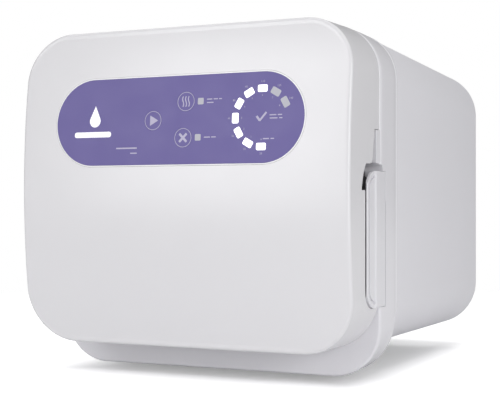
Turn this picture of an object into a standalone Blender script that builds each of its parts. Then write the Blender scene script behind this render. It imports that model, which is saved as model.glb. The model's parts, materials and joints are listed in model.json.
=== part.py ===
"""Benchtop steam autoclave, as an assembly of separate sub-parts.

The scene is in metres, +Z up, with the front towards -Y. Every size below is in
millimetres, in the assembly's own frame: X is 0 at the middle of the door, Y is 0
at the door's upper and lower front edges, and Z is 0 on the bench. One root empty
then moves the whole assembly, so that the world's origin is the bottom centre of
its bounding box.
"""

import math

import bmesh
import bpy
from mathutils import Matrix, Vector

MM = 0.001
GAP = 0.3  # between pieces that touch
RUNNING = 0.3  # round a pin that turns

# Mesh fineness
CORNER_STEPS = 7
SIDE_STEPS = 8
TURNED_STEPS = 40
SMALL_STEPS = 16

# Door
DOOR_WIDTH = 285.6
DOOR_HEIGHT = 250.0
DOOR_BOTTOM = 29.2
DOOR_RADIUS_LOW = 43.3
DOOR_RADIUS_TOP = 39.6
DOOR_CROWN = 11.9  # forward bulge of the front at mid height
DOOR_DEPTH = 51.1
DOOR_FLARE = 0.8  # widening of the side wall from front to rear, each side
DOOR_EDGE = 2.5  # rounding of the front edge
DOOR_WALL = 3.0
MID_Z = DOOR_BOTTOM + DOOR_HEIGHT / 2
HALF_DOOR = DOOR_WIDTH / 2

# Front frame behind the door, with a chin that reaches down to the bench
FRAME_FRONT = DOOR_DEPTH + 0.5
FRAME_REAR = 92.2
FRAME_HALF = 143.5
FRAME_TOP = 279.4
FRAME_WALL = 3.0
CHIN_BOTTOM = 6.3
CHIN_REAR = 84.5
CHIN_TOP = 57.2  # below this height the frame ends at CHIN_REAR

# Rear cover
COVER_FRONT = CHIN_REAR + GAP
COVER_REAR = 345.5
COVER_WALL = 2.0
COVER_SLOT_HALF = 100.0  # the underside is open between these
FEET = {"front": (80.0, 110.0), "rear": (62.0, 262.0)}  # their places (x, y), mirrored
FOOT_RADIUS = 10.0
FOOT_TOP_RADIUS = 13.0
BASE_HALF = 108.0
BASE_BOTTOM = 27.9
SHEET = 2.0

# Rear panel
PANEL_FRONT = 327.0
PANEL_HALF = 138.7
PANEL_BOTTOM = 24.8
PANEL_TOP = 267.7
PANEL_FACE = PANEL_FRONT + SHEET

# Pressure chamber, on a horizontal axis through the door's middle
CHAMBER_RADIUS = 78.0
CHAMBER_WALL = 3.5
CHAMBER_FRONT = 52.5
CHAMBER_STRAIGHT = 284.0
CHAMBER_DOME = 16.0
FLANGE_RADIUS = 98.0
FLANGE_THICK = 8.0
BULKHEAD_FRONT = 70.0
JACKET_RADIUS = 93.0
CHAMBER_OUTER = CHAMBER_RADIUS + CHAMBER_WALL
CHAMBER_END = CHAMBER_STRAIGHT + CHAMBER_DOME + CHAMBER_WALL

# Door plate and seal
PLATE_RADIUS = 94.0
PLATE_FRONT = 45.0
PLATE_REAR = 51.0
SEAL_INNER = 82.2
SEAL_OUTER = 89.8
SEAL_REAR = 52.0

# Door hinge on the left and lever on the right
HINGE_X = -150.2
HINGE_Y = 51.3
HINGE_RADIUS = 4.6
HINGE_PIN_RADIUS = 2.0
HINGE_HEIGHTS = {"lower": 84.0, "upper": 224.0}
HINGE_HALF = 18.0
LEAF_THICK = 2.4
LEVER_X = 137.6
LEVER_Y = 59.5
LEVER_RADIUS = 6.0
LEVER_PIN_RADIUS = 1.6
LEVER_OUTER = 144.3
LEVER_LIP = 142.9  # outer face of the thin front lip, which a finger pulls
LEVER_LIP_THICK = 2.0
LEVER_STEP_Y = 41.2
LEVER_INNER = 131.0
LEVER_FRONT = 20.5
LEVER_BOTTOM = 62.1
LEVER_TOP = 165.8
LEVER_SWEEP = 7.6  # radius about the pin that the frame keeps clear
POCKET_FLOOR = 122.0
POCKET_LEDGE = 141.0  # the ledge in front of the lever
POCKET_LEDGE_REAR = 19.3
POCKET_WALL = 3.0
POCKET_BOTTOM = 59.7
POCKET_TOP = 171.2
POCKET_LUG_Y = 55.5
FINGER_BOTTOM = 151.0
TONGUE_TOP = 197.7
HOOK_HEIGHTS = {"lower": 83.0, "upper": 145.0}

# Control panel on the door's front
PANEL_X = -1.4
PANEL_Z = 205.6
PANEL_WIDTH = 217.9
PANEL_HEIGHT = 69.7
PANEL_THICK = 3.2
PANEL_PROUD = 0.2
KEY_RADIUS = 7.4
KEY_REAR = -2.5
KEYS = {"key_start": (-20.7, 205.7), "key_dry": (7.8, 219.6), "key_cancel": (6.2, 191.7)}
DIAL_X = 72.4
DIAL_Z = 205.4
DIAL_INNER = 18.0
DIAL_OUTER = 26.0
DIAL_DEPTH = 1.2

# Rear controls and connectors
INLET_X = 95.0
INLET_Z = 62.0
ROCKER_X = 95.0
ROCKER_Z = 102.0
ROCKER_PIVOT_Y = 329.0
ROCKER_TILT = 8.0  # degrees either side of level; it rests tipped one way
VALVE_X = 62.0
VALVE_Z = 222.0
DRAIN_X = -95.0
DRAIN_Z = 62.0

WORLD_SHIFT = (
    -(HINGE_X - HINGE_RADIUS + LEVER_OUTER) / 2,
    (DOOR_CROWN - COVER_REAR) / 2,
    0.0,
)

# Colour, roughness and metallic value
FINISHES = {
    "white_plastic": ((0.78, 0.78, 0.81), 0.38, 0.0),
    "white_paint": ((0.72, 0.72, 0.75), 0.45, 0.0),
    "violet_overlay": ((0.19, 0.16, 0.38), 0.35, 0.0),
    "lit_white": ((0.9, 0.9, 0.95), 0.4, 0.0),
    "stainless": ((0.62, 0.62, 0.62), 0.28, 1.0),
    "aluminium": ((0.72, 0.73, 0.74), 0.35, 1.0),
    "zinc": ((0.55, 0.56, 0.57), 0.4, 1.0),
    "copper": ((0.72, 0.42, 0.28), 0.35, 1.0),
    "brass": ((0.75, 0.6, 0.3), 0.32, 1.0),
    "silicone": ((0.75, 0.74, 0.7), 0.6, 0.0),
    "rubber": ((0.03, 0.03, 0.03), 0.8, 0.0),
    "black_plastic": ((0.03, 0.03, 0.035), 0.45, 0.0),
    "board_green": ((0.03, 0.18, 0.08), 0.5, 0.0),
    "insulation": ((0.7, 0.68, 0.6), 0.9, 0.0),
}

# Axis position of each moving body
BODY_AXES = {
    "casing": (0.0, 0.0, 0.0),
    "door": (HINGE_X, HINGE_Y, 0.0),
    "lever": (LEVER_X, LEVER_Y, 0.0),
    "key_start": (KEYS["key_start"][0], 0.0, KEYS["key_start"][1]),
    "key_dry": (KEYS["key_dry"][0], 0.0, KEYS["key_dry"][1]),
    "key_cancel": (KEYS["key_cancel"][0], 0.0, KEYS["key_cancel"][1]),
    "rocker": (ROCKER_X, ROCKER_PIVOT_Y, ROCKER_Z),
    "valve_ring": (VALVE_X, PANEL_FACE, VALVE_Z),
}


# ---------------------------------------------------------------- scene helpers


def clear_scene():
    for obj in list(bpy.data.objects):
        bpy.data.objects.remove(obj, do_unlink=True)


def make_finishes():
    for name, (colour, roughness, metallic) in FINISHES.items():
        material = bpy.data.materials.new(name)
        material.use_nodes = True
        shader = material.node_tree.nodes["Principled BSDF"]
        shader.inputs["Base Color"].default_value = (*colour, 1.0)
        shader.inputs["Roughness"].default_value = roughness
        shader.inputs["Metallic"].default_value = metallic


def make_bodies():
    """One empty per moving body, on its joint's axis, under the root empty."""
    root = bpy.data.objects.new("assembly_root", None)
    bpy.context.collection.objects.link(root)
    root.location = Vector(WORLD_SHIFT) * MM
    for name, place in BODY_AXES.items():
        empty = bpy.data.objects.new("axis_" + name, None)
        bpy.context.collection.objects.link(empty)
        empty.parent = root
        empty.location = Vector(place) * MM


def attach(obj, body):
    """Parents an object that is modelled in the assembly's frame to its body."""
    bpy.context.collection.objects.link(obj)
    obj.parent = bpy.data.objects["axis_" + body]
    obj.matrix_parent_inverse = Matrix.Translation(-Vector(BODY_AXES[body]) * MM)


def finish(obj, finish_name, body="casing"):
    """Makes an object a sub-part: its own copy of a finish, and a body."""
    material = bpy.data.materials[finish_name].copy()
    material.name = obj.name
    obj.data.materials.append(material)
    attach(obj, body)
    if obj.type == "MESH":
        obj.data.shade_smooth()
        obj.data.set_sharp_from_angle(angle=math.radians(35))
    return obj


def object_from(name, mesh_builder):
    bmesh.ops.recalc_face_normals(mesh_builder, faces=mesh_builder.faces)
    mesh = bpy.data.meshes.new(name)
    mesh_builder.to_mesh(mesh)
    mesh_builder.free()
    return bpy.data.objects.new(name, mesh)


def combine(obj, helper, operation, body="casing"):
    """Adds a Boolean with a helper shape, which isn't a sub-part itself."""
    if helper.name not in bpy.context.collection.objects:
        attach(helper, body)
    helper.hide_render = True
    helper.display_type = "WIRE"
    modifier = obj.modifiers.new(operation.lower(), "BOOLEAN")
    modifier.operation = operation
    modifier.solver = "EXACT"
    modifier.object = helper


def cut(obj, *helpers):
    for helper in helpers:
        combine(obj, helper, "DIFFERENCE")


def add(obj, *helpers):
    for helper in helpers:
        combine(obj, helper, "UNION")


def keep_inside(obj, helper):
    combine(obj, helper, "INTERSECT")


# ---------------------------------------------------------------- shape helpers


def half_outline(half_width, bottom, top, radius_low, radius_top=None):
    """Right half of a rounded rectangle as (x, z), from bottom to top."""
    radius_top = radius_low if radius_top is None else radius_top
    points = []
    for step in range(CORNER_STEPS + 1):
        angle = math.pi / 2 * (step / CORNER_STEPS - 1)
        x = half_width - radius_low * (1 - math.cos(angle))
        points.append((x, bottom + radius_low * (1 + math.sin(angle))))
    low, high = bottom + radius_low, top - radius_top
    for step in range(1, SIDE_STEPS):
        points.append((half_width, low + (high - low) * step / SIDE_STEPS))
    for step in range(CORNER_STEPS + 1):
        angle = math.pi / 2 * step / CORNER_STEPS
        x = half_width - radius_top * (1 - math.cos(angle))
        points.append((x, high + radius_top * math.sin(angle)))
    return points


def half_circle(radius, z, steps):
    """Right half of a circle as (x, z), from just off its lowest point to its top."""
    angles = [math.pi * ((step + 0.5) / steps - 0.5) for step in range(steps)]
    return [(radius * math.cos(a), z + radius * math.sin(a)) for a in angles]


def ring(outline, y, middle=0.0):
    """A closed ring from a right half outline; y is a number or a function of z."""
    depth = y if callable(y) else lambda z: y
    right = [(middle + x, depth(z), z) for x, z in outline]
    left = [(middle - x, depth(z), z) for x, z in reversed(outline)]
    return right + left


def loft(name, rings, hollow=False):
    """Skins rings of equal length, with a ladder of faces across each end ring.

    A hollow loft joins its last ring to its first one instead, as a tube with a wall.
    """
    bm = bmesh.new()
    loops = [[bm.verts.new(Vector(point) * MM) for point in points] for points in rings]
    count = len(loops[0])
    pairs = list(zip(loops, loops[1:]))
    if hollow:
        pairs.append((loops[-1], loops[0]))
    for first, second in pairs:
        for i in range(count):
            j = (i + 1) % count
            bm.faces.new((first[i], first[j], second[j], second[i]))
    for end in () if hollow else (loops[0], loops[-1]):
        for i in range(count // 2 - 1):
            mirrored = count - 1 - i
            bm.faces.new((end[i], end[i + 1], end[mirrored - 1], end[mirrored]))
    return object_from(name, bm)


def box(name, low, high):
    bm = bmesh.new()
    size = Vector(high) - Vector(low)
    middle = (Vector(high) + Vector(low)) / 2
    place = Matrix.Translation(middle * MM) @ Matrix.Diagonal((*(size * MM), 1.0))
    bmesh.ops.create_cube(bm, size=1.0, matrix=place)
    return object_from(name, bm)


def prism(name, outline, axis, low, high):
    """Extrudes an outline along an axis; it holds the other two coordinates in order."""
    bm = bmesh.new()
    points = []
    for first, second in outline:
        place = [first, second]
        place.insert("XYZ".index(axis), low)
        points.append(bm.verts.new(Vector(place) * MM))
    face = bm.faces.new(points)
    moved = bmesh.ops.extrude_face_region(bm, geom=[face])["geom"]
    shift = Vector([(high - low) * MM if letter == axis else 0.0 for letter in "XYZ"])
    bmesh.ops.translate(bm, vec=shift, verts=[v for v in moved if isinstance(v, bmesh.types.BMVert)])
    return object_from(name, bm)


def cylinder(name, radius, start, end, steps=SMALL_STEPS, end_radius=None):
    bm = bmesh.new()
    along = Vector(end) - Vector(start)
    middle = (Vector(start) + Vector(end)) / 2
    turn = Vector((0, 0, 1)).rotation_difference(along).to_matrix().to_4x4()
    bmesh.ops.create_cone(
        bm,
        cap_ends=True,
        segments=steps,
        radius1=radius * MM,
        radius2=(radius if end_radius is None else end_radius) * MM,
        depth=along.length * MM,
        matrix=Matrix.Translation(middle * MM) @ turn,
    )
    return object_from(name, bm)


def turned(name, profile, x, z, steps=TURNED_STEPS, closed=False):
    """Turns a (radius, y) profile about a line along Y; open profiles end on the axis."""
    bm = bmesh.new()
    points = [bm.verts.new(Vector((x + radius, y, z)) * MM) for radius, y in profile]
    edges = [bm.edges.new(pair) for pair in zip(points, points[1:])]
    if closed:
        edges.append(bm.edges.new((points[-1], points[0])))
    bmesh.ops.spin(
        bm,
        geom=points + edges,
        cent=Vector((x, 0, z)) * MM,
        axis=(0, 1, 0),
        angle=math.tau,
        steps=steps,
        use_merge=True,
    )
    bmesh.ops.remove_doubles(bm, verts=bm.verts, dist=0.001 * MM)
    return object_from(name, bm)


def arc(middle, radius, first, last, steps):
    """Points on an arc, with angles in degrees from the first axis."""
    angles = [math.radians(first + (last - first) * step / steps) for step in range(steps + 1)]
    return [(middle[0] + radius * math.cos(a), middle[1] + radius * math.sin(a)) for a in angles]


def pipe(name, radius, points):
    """A round pipe through bend points, each bend rounded by a quadratic curve."""
    route = [Vector(points[0])]
    for before, bend, after in zip(points, points[1:], points[2:]):
        before, bend, after = Vector(before), Vector(bend), Vector(after)
        reach = min(10.0, (bend - before).length * 0.45, (after - bend).length * 0.45)
        enter = bend + (before - bend).normalized() * reach
        leave = bend + (after - bend).normalized() * reach
        for step in range(5):
            t = step / 4
            route.append(enter.lerp(bend, t).lerp(bend.lerp(leave, t), t))
    route.append(Vector(points[-1]))
    curve = bpy.data.curves.new(name, "CURVE")
    curve.dimensions = "3D"
    curve.bevel_depth = radius * MM
    curve.bevel_resolution = 2
    curve.use_fill_caps = True
    spline = curve.splines.new("POLY")
    spline.points.add(len(route) - 1)
    for point, place in zip(spline.points, route):
        point.co = (*(place * MM), 1.0)
    return bpy.data.objects.new(name, curve)


# ---------------------------------------------------------------- door


def crown(z):
    """Y of the door's front at a height, before its edge is rounded."""
    return -DOOR_CROWN * (1 - ((z - MID_Z) / (DOOR_HEIGHT / 2)) ** 2)


def door_ring(inset, y, flare=0.0):
    outline = half_outline(
        HALF_DOOR + flare - inset,
        DOOR_BOTTOM - flare + inset,
        DOOR_BOTTOM + DOOR_HEIGHT + flare - inset,
        DOOR_RADIUS_LOW + flare - inset,
        DOOR_RADIUS_TOP + flare - inset,
    )
    return ring(outline, y)


def lever_pockets():
    """The recess in the door's right side: a shallow one, and a deep one inside it.

    The ledge between the two runs along the lever's front, and a finger hole breaks it.
    """
    low, ledge = POCKET_BOTTOM, POCKET_LEDGE_REAR
    above = [(12.6, 160.0), (20.5, POCKET_TOP), (36.3, POCKET_TOP)]
    above += [(38.4, TONGUE_TOP), (75.0, TONGUE_TOP), (75.0, low)]
    shallow = [(24.0, low), (14.0, 65.0), (10.4, 74.0), (10.6, 147.0), *above]
    deep = [(24.0, low), (ledge, 66.0), (ledge, FINGER_BOTTOM), (11.4, FINGER_BOTTOM), *above]
    return (
        prism("door_pocket_shallow", shallow, "X", POCKET_LEDGE, 160.0),
        prism("door_pocket_deep", deep, "X", POCKET_FLOOR, 160.0),
    )


def make_door_shell():
    rings = [door_ring(DOOR_EDGE, crown)]
    for angle in (30, 60):
        turn = math.radians(angle)
        inset = DOOR_EDGE * (1 - math.sin(turn))
        back = DOOR_EDGE * (1 - math.cos(turn))
        rings.append(door_ring(inset, lambda z, back=back: crown(z) + back))
    rings.append(door_ring(0.0, lambda z: crown(z) + DOOR_EDGE))
    rings.append(door_ring(0.0, DOOR_DEPTH, DOOR_FLARE))
    shell = loft("door_shell", rings)
    cavity = loft(
        "door_shell_cavity",
        [
            door_ring(DOOR_WALL, lambda z: crown(z) + DOOR_WALL),
            door_ring(DOOR_WALL, DOOR_DEPTH + DOOR_WALL, DOOR_FLARE),
        ],
    )
    wall, inner = POCKET_WALL, POCKET_FLOOR - POCKET_WALL
    low, top = POCKET_BOTTOM - wall, POCKET_TOP + wall
    blocks = (
        ("ledge", (POCKET_LEDGE - wall, 10.4 - wall, low), top),
        ("deep", (inner, POCKET_LEDGE_REAR - wall, low), top),
        ("finger", (inner, 11.4 - wall, FINGER_BOTTOM - wall), top),
        ("tongue", (inner, 36.3 - wall, POCKET_TOP - wall), TONGUE_TOP + wall),
    )
    for name, corner, height in blocks:
        cut(cavity, box(f"door_{name}_block", corner, (160.0, 70.0, height)))
    outline = half_outline(
        PANEL_WIDTH / 2 + GAP,
        PANEL_Z - PANEL_HEIGHT / 2 - GAP,
        PANEL_Z + PANEL_HEIGHT / 2 + GAP,
        PANEL_HEIGHT / 2 + GAP - 0.01,
    )
    window = loft("door_window", [ring(outline, -30.0, PANEL_X), ring(outline, 8.0, PANEL_X)])
    cut(shell, cavity, *lever_pockets(), window)
    return finish(shell, "white_plastic", "door")


def make_door_liner():
    """Plastic inner cover round the pressure plate."""
    inset = DOOR_WALL + 0.5
    liner = loft("door_liner", [door_ring(inset, 46.5), door_ring(inset, 50.5)])
    pocket = box(
        "door_liner_notch",
        (POCKET_FLOOR - POCKET_WALL - 0.5, 40.0, POCKET_BOTTOM - POCKET_WALL - 0.5),
        (160.0, 60.0, TONGUE_TOP + POCKET_WALL + 0.5),
    )
    hole = cylinder("door_liner_hole", PLATE_RADIUS + 2.5, (0, 40, MID_Z), (0, 60, MID_Z), TURNED_STEPS)
    cut(liner, pocket, hole)
    return finish(liner, "white_plastic", "door")


def make_door_structure():
    crossbar = box("door_crossbar", (-136.0, 16.0, MID_Z - 15), (116.0, 22.0, MID_Z + 15))
    finish(crossbar, "zinc", "door")
    stud = [(0, 22.3), (20, 22.3), (20, 26), (8, 27), (8, 44.7), (0, 44.7)]
    finish(turned("plate_stud", stud, 0, MID_Z, SMALL_STEPS), "zinc", "door")
    groove = 48.1
    plate = [(0, PLATE_FRONT), (PLATE_RADIUS, PLATE_FRONT), (PLATE_RADIUS, PLATE_REAR)]
    plate += [(SEAL_OUTER + GAP, PLATE_REAR), (SEAL_OUTER + GAP, groove)]
    plate += [(SEAL_INNER - GAP, groove), (SEAL_INNER - GAP, PLATE_REAR)]
    plate += [(70, PLATE_REAR), (62, PLATE_REAR - 2.5), (0, PLATE_REAR - 2.5)]
    finish(turned("pressure_plate", plate, 0, MID_Z), "stainless", "door")
    seal = [(SEAL_INNER, groove + GAP), (SEAL_OUTER, groove + GAP), (SEAL_OUTER, SEAL_REAR - 1)]
    seal += [(SEAL_OUTER - 2, SEAL_REAR), (SEAL_INNER + 2, SEAL_REAR), (SEAL_INNER, SEAL_REAR - 1)]
    finish(turned("door_seal", seal, 0, MID_Z, closed=True), "silicone", "door")


def make_latch_strike():
    """Steel strike on the floor of the lever pocket, with a lip for the hooks."""
    face = POCKET_FLOOR + GAP
    outline = [(face, 27), (face + 1.5, 27), (face + 1.5, 45)]
    outline += [(face + 3.7, 45), (face + 3.7, 49), (face, 49)]
    return finish(prism("latch_strike", outline, "Z", 73.0, 155.0), "zinc", "door")


# ---------------------------------------------------------------- control panel


def crowned(name, outline, x, front, back):
    """A slab that follows the door's front; front and back are offsets along Y."""
    near = ring(outline, lambda z: crown(z) + front, x)
    far = ring(outline, lambda z: crown(z) + back, x)
    return loft(name, [near, far])


def panel_outline(margin=0.0):
    half_height = PANEL_HEIGHT / 2 + margin
    return half_outline(
        PANEL_WIDTH / 2 + margin,
        PANEL_Z - half_height,
        PANEL_Z + half_height,
        half_height - 0.01,
    )


def dial_band(name, margin, front, back):
    """The dial's ring, or with a margin the groove that it lies in."""
    steps = 16
    outer = half_circle(DIAL_OUTER + margin, DIAL_Z, steps)
    band = crowned(name, outer, DIAL_X, front, back)
    centre = crowned(
        name + "_centre",
        half_circle(DIAL_INNER - margin, DIAL_Z, steps),
        DIAL_X,
        front - 1,
        back + 1,
    )
    cut(band, centre)
    return band


def make_control_panel():
    panel = crowned("control_panel", panel_outline(), PANEL_X, -PANEL_PROUD, PANEL_THICK)
    for name, (x, z) in KEYS.items():
        hole = cylinder(name + "_hole", KEY_RADIUS + GAP, (x, -30, z), (x, 10, z), 20)
        cut(panel, hole)
    cut(panel, dial_band("dial_groove", GAP, -3.0, DIAL_DEPTH + GAP))
    finish(panel, "violet_overlay", "door")
    finish(dial_band("indicator_ring", 0.0, -PANEL_PROUD, DIAL_DEPTH), "lit_white", "door")
    for name, (x, z) in KEYS.items():
        key = cylinder(name, KEY_RADIUS, (x, crown(z) - PANEL_PROUD, z), (x, KEY_REAR, z), 20)
        finish(key, "violet_overlay", name)
    board = box("control_board", (-92.0, -1.2, 180.0), (92.0, 0.4, 232.0))
    finish(board, "board_green", "door")


# ---------------------------------------------------------------- hinge and lever


def make_hinges():
    """Two barrel hinges: the lower knuckle is the frame's, the upper one the door's."""
    x, y = HINGE_X, HINGE_Y
    frame_side = -(FRAME_HALF + 0.4 + GAP)
    door_side = -(HALF_DOOR + DOOR_FLARE + GAP)
    leaf_outer = frame_side - LEAF_THICK
    for name, middle in HINGE_HEIGHTS.items():
        bottom, top = middle - HINGE_HALF, middle + HINGE_HALF
        knuckles = (
            ("frame_hinge_", "casing", bottom, middle - GAP / 2, y + 0.7, 82.0, frame_side),
            ("door_hinge_", "door", middle + GAP / 2, top, 18.0, y - 0.5, door_side),
        )
        for label, body, low, high, near, far, inner in knuckles:
            knuckle = cylinder(label + name, HINGE_RADIUS, (x, y, low), (x, y, high), 20)
            leaf = box(label + name + "_leaf", (leaf_outer, near, low), (inner, far, high))
            bore = cylinder(
                label + name + "_bore",
                HINGE_PIN_RADIUS + RUNNING,
                (x, y, low - 5),
                (x, y, high + 5),
            )
            add(knuckle, leaf)
            cut(knuckle, bore)
            finish(knuckle, "zinc", body)
        pin = cylinder("hinge_pin_" + name, HINGE_PIN_RADIUS, (x, y, bottom), (x, y, top + 1))
        head = cylinder("hinge_pin_head_" + name, 3.6, (x, y, top + GAP), (x, y, top + 2.3))
        add(pin, head)
        finish(pin, "stainless")


def make_lever():
    """Grip bar with a thin front lip, which swings out on an upright pin at its rear."""
    pivot = (LEVER_X, LEVER_Y)
    nose = LEVER_LIP_THICK / 2
    nose_middle = (LEVER_LIP - nose, LEVER_FRONT + nose)
    outline = [(LEVER_OUTER - 0.3, 62.3), (LEVER_OUTER - 1.0, 63.1)]
    outline += arc(pivot, LEVER_RADIUS, 60, 200, 7)
    outline += [(LEVER_INNER, 50.0), (LEVER_INNER, 38.0), (LEVER_LIP - LEVER_LIP_THICK, 30.0)]
    outline += arc(nose_middle, nose, 180, 360, 6)
    outline += [(LEVER_LIP, LEVER_STEP_Y), (LEVER_OUTER, LEVER_STEP_Y + 1.2)]
    lever = prism("lever", outline, "Z", LEVER_BOTTOM, LEVER_TOP)
    front, rear, radius = LEVER_FRONT - 0.5, LEVER_Y + LEVER_SWEEP, 14.0
    side = arc((front + radius, LEVER_BOTTOM + radius), radius, 180, 270, 6)
    side += [(rear, LEVER_BOTTOM), (rear, LEVER_TOP)]
    side += arc((front + radius, LEVER_TOP - radius), radius, 90, 180, 6)
    keep_inside(lever, prism("lever_side", side, "X", 120.0, 160.0))
    bore = cylinder(
        "lever_bore",
        LEVER_PIN_RADIUS + RUNNING,
        (*pivot, LEVER_BOTTOM - 5),
        (*pivot, LEVER_TOP + 5),
    )
    cut(lever, bore)
    finish(lever, "white_plastic", "lever")
    pin = cylinder("lever_pin", LEVER_PIN_RADIUS, (*pivot, 57.2), (*pivot, 178.0))
    finish(pin, "stainless")
    back = LEVER_INNER - GAP
    hook = [(126.4, 37), (back, 37), (back, 56), (128.4, 56), (128.4, 44.6), (126.4, 44.6)]
    for name, middle in HOOK_HEIGHTS.items():
        piece = prism("latch_hook_" + name, hook, "Z", middle - 5, middle + 5)
        finish(piece, "zinc", "lever")


# ---------------------------------------------------------------- casing


def frame_ring(y, half_width, bottom, top, radius_low, radius_top, inset=0.0):
    outline = half_outline(
        half_width - inset,
        bottom + inset,
        top - inset,
        radius_low - inset,
        radius_top - inset,
    )
    return ring(outline, y)


def make_front_frame():
    """Shell behind the door, open to the rear, that reaches down below it as a chin."""
    low = CHIN_BOTTOM
    stations = [
        (FRAME_FRONT, FRAME_HALF - 1.0, low + 1.0, FRAME_TOP - 1.0, 39.0, 39.0),
        (FRAME_FRONT + 1.2, FRAME_HALF, low, FRAME_TOP, 40.0, 40.0),
        (58.0, FRAME_HALF + 0.2, low, FRAME_TOP + 0.1, 41.0, 40.0),
        (70.0, FRAME_HALF + 0.4, low, FRAME_TOP - 0.2, 42.5, 39.5),
        (82.0, FRAME_HALF + 0.4, low, FRAME_TOP - 0.9, 43.5, 39.0),
        (FRAME_REAR, FRAME_HALF - 0.2, low, 277.8, 43.5, 38.5),
    ]
    frame = loft("front_frame", [frame_ring(*station) for station in stations])
    cavity_stations = [(FRAME_FRONT + FRAME_WALL + 0.4, *stations[1][1:])]
    cavity_stations += stations[2:-1]
    cavity_stations += [(FRAME_REAR + 5, *stations[-1][1:])]
    cavity = loft(
        "front_frame_cavity",
        [frame_ring(*station, inset=FRAME_WALL) for station in cavity_stations],
    )
    wall = POCKET_WALL
    sweep_rear = LEVER_Y + LEVER_SWEEP
    block = box(
        "frame_pocket_block",
        (POCKET_FLOOR - wall, 45.0, POCKET_BOTTOM - wall),
        (160.0, sweep_rear + wall - 0.5, POCKET_TOP + wall),
    )
    cut(cavity, block)
    mouth = cylinder(
        "frame_mouth",
        FLANGE_RADIUS + 3,
        (0, 40, MID_Z),
        (0, 62, MID_Z),
        TURNED_STEPS,
    )
    sweep = arc((LEVER_X, LEVER_Y), LEVER_SWEEP, 33, 90, 5)
    outline = [(POCKET_FLOOR, 40.0), (160.0, 40.0), (160.0, sweep[0][1]), *sweep]
    outline += [(POCKET_FLOOR, sweep_rear)]
    pocket = prism("frame_pocket_void", outline, "Z", POCKET_BOTTOM, POCKET_TOP)
    lug = box(
        "frame_pocket_lug",
        (POCKET_FLOOR - 1, POCKET_LUG_Y, LEVER_TOP + 0.5),
        (FRAME_HALF - 0.1, sweep_rear + 1, POCKET_TOP + 1),
    )
    step = box("frame_chin_step", (-170, CHIN_REAR, -10), (170, 120, CHIN_TOP))
    tongue = box(
        "frame_tongue",
        (POCKET_FLOOR + 4, 39.5, POCKET_TOP + 0.8),
        (FRAME_HALF - 0.3, FRAME_FRONT + 2, TONGUE_TOP - 0.7),
    )
    bore = cylinder(
        "frame_lever_bore",
        LEVER_PIN_RADIUS + RUNNING,
        (LEVER_X, LEVER_Y, POCKET_BOTTOM - wall + 0.1),
        (LEVER_X, LEVER_Y, 178.5),
    )
    cut(frame, cavity, mouth, pocket, step)
    add(frame, tongue, lug)
    cut(frame, bore)
    return finish(frame, "white_plastic")


def make_rear_cover():
    """Painted wrap-round cover, open underneath between its two curled edges."""
    front = (143.2, 25.3, 277.8, 39.4, 38.5)
    rear = (141.0, 22.2, 269.6, 42.5, 42.5)
    rim = 2.0
    rings = [frame_ring(COVER_FRONT, *front), frame_ring(COVER_REAR - rim, *rear)]
    rings += [frame_ring(COVER_REAR, *rear, inset=rim * 0.6)]
    rings += [frame_ring(COVER_REAR, *rear, inset=COVER_WALL)]
    rings += [frame_ring(COVER_FRONT, *front, inset=COVER_WALL)]
    cover = loft("rear_cover", rings, hollow=True)
    step = box("cover_step", (-170, 70, CHIN_TOP - GAP), (170, FRAME_REAR + GAP, 300))
    half = COVER_SLOT_HALF
    slot = box("cover_slot", (-half, 70, -10), (half, 360, 40))
    cut(cover, step, slot)
    return finish(cover, "white_paint")


def make_base_and_feet():
    top = BASE_BOTTOM + SHEET
    base = box("base_plate", (-BASE_HALF, 73.0, BASE_BOTTOM), (BASE_HALF, 325.0, top))
    for x in (-40.0, 0.0, 40.0):
        vent = box(f"base_vent_{x:.0f}", (x - 2.5, 130, 20), (x + 2.5, 200, 40))
        cut(base, vent)
    finish(base, "zinc")
    for name, (x, y) in FEET.items():
        for side, sign in (("left", -1), ("right", 1)):
            low, high = (x * sign, y, 0), (x * sign, y, BASE_BOTTOM - GAP)
            foot = cylinder(f"{name}_foot_{side}", FOOT_RADIUS, low, high, 20, FOOT_TOP_RADIUS)
            finish(foot, "rubber")


def make_rear_panel():
    outline = half_outline(PANEL_HALF, PANEL_BOTTOM, PANEL_TOP, 40.0)
    panel = loft("rear_panel", [ring(outline, PANEL_FRONT), ring(outline, PANEL_FACE)])
    for row in range(6):
        z = 130.0 + 9.0 * row
        vent = box(f"rear_vent_{row}", (-45, 320, z), (45, 335, z + 4))
        cut(panel, vent)
    near, far = 320.0, 335.0
    inlet = box("inlet_hole", (INLET_X - 14, near, INLET_Z - 10.3), (INLET_X + 14, far, INLET_Z + 10.3))
    switch = box(
        "switch_hole",
        (ROCKER_X - 11, near, ROCKER_Z - 10.8),
        (ROCKER_X + 11, far, ROCKER_Z + 10.8),
    )
    cut(panel, inlet, switch)
    round_holes = [(VALVE_X, VALVE_Z, 7.3), (DRAIN_X, DRAIN_Z, 5.3)]
    round_holes += [(x, z, 6.3) for x, z in FUSES.values()]
    round_holes += [(x, z, 1.9) for x, z in SCREWS.values()]
    for index, (x, z, radius) in enumerate(round_holes):
        hole = cylinder(f"panel_hole_{index}", radius, (x, near, z), (x, far, z))
        cut(panel, hole)
    return finish(panel, "white_paint")


FUSES = {"fuse_holder_left": (48.0, 62.0), "fuse_holder_right": (68.0, 62.0)}
SCREWS = {
    "panel_screw_low_left": (-122.0, 48.0),
    "panel_screw_low_right": (122.0, 48.0),
    "panel_screw_top_left": (-118.0, 246.0),
    "panel_screw_top_right": (118.0, 246.0),
}


# ---------------------------------------------------------------- chamber


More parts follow.
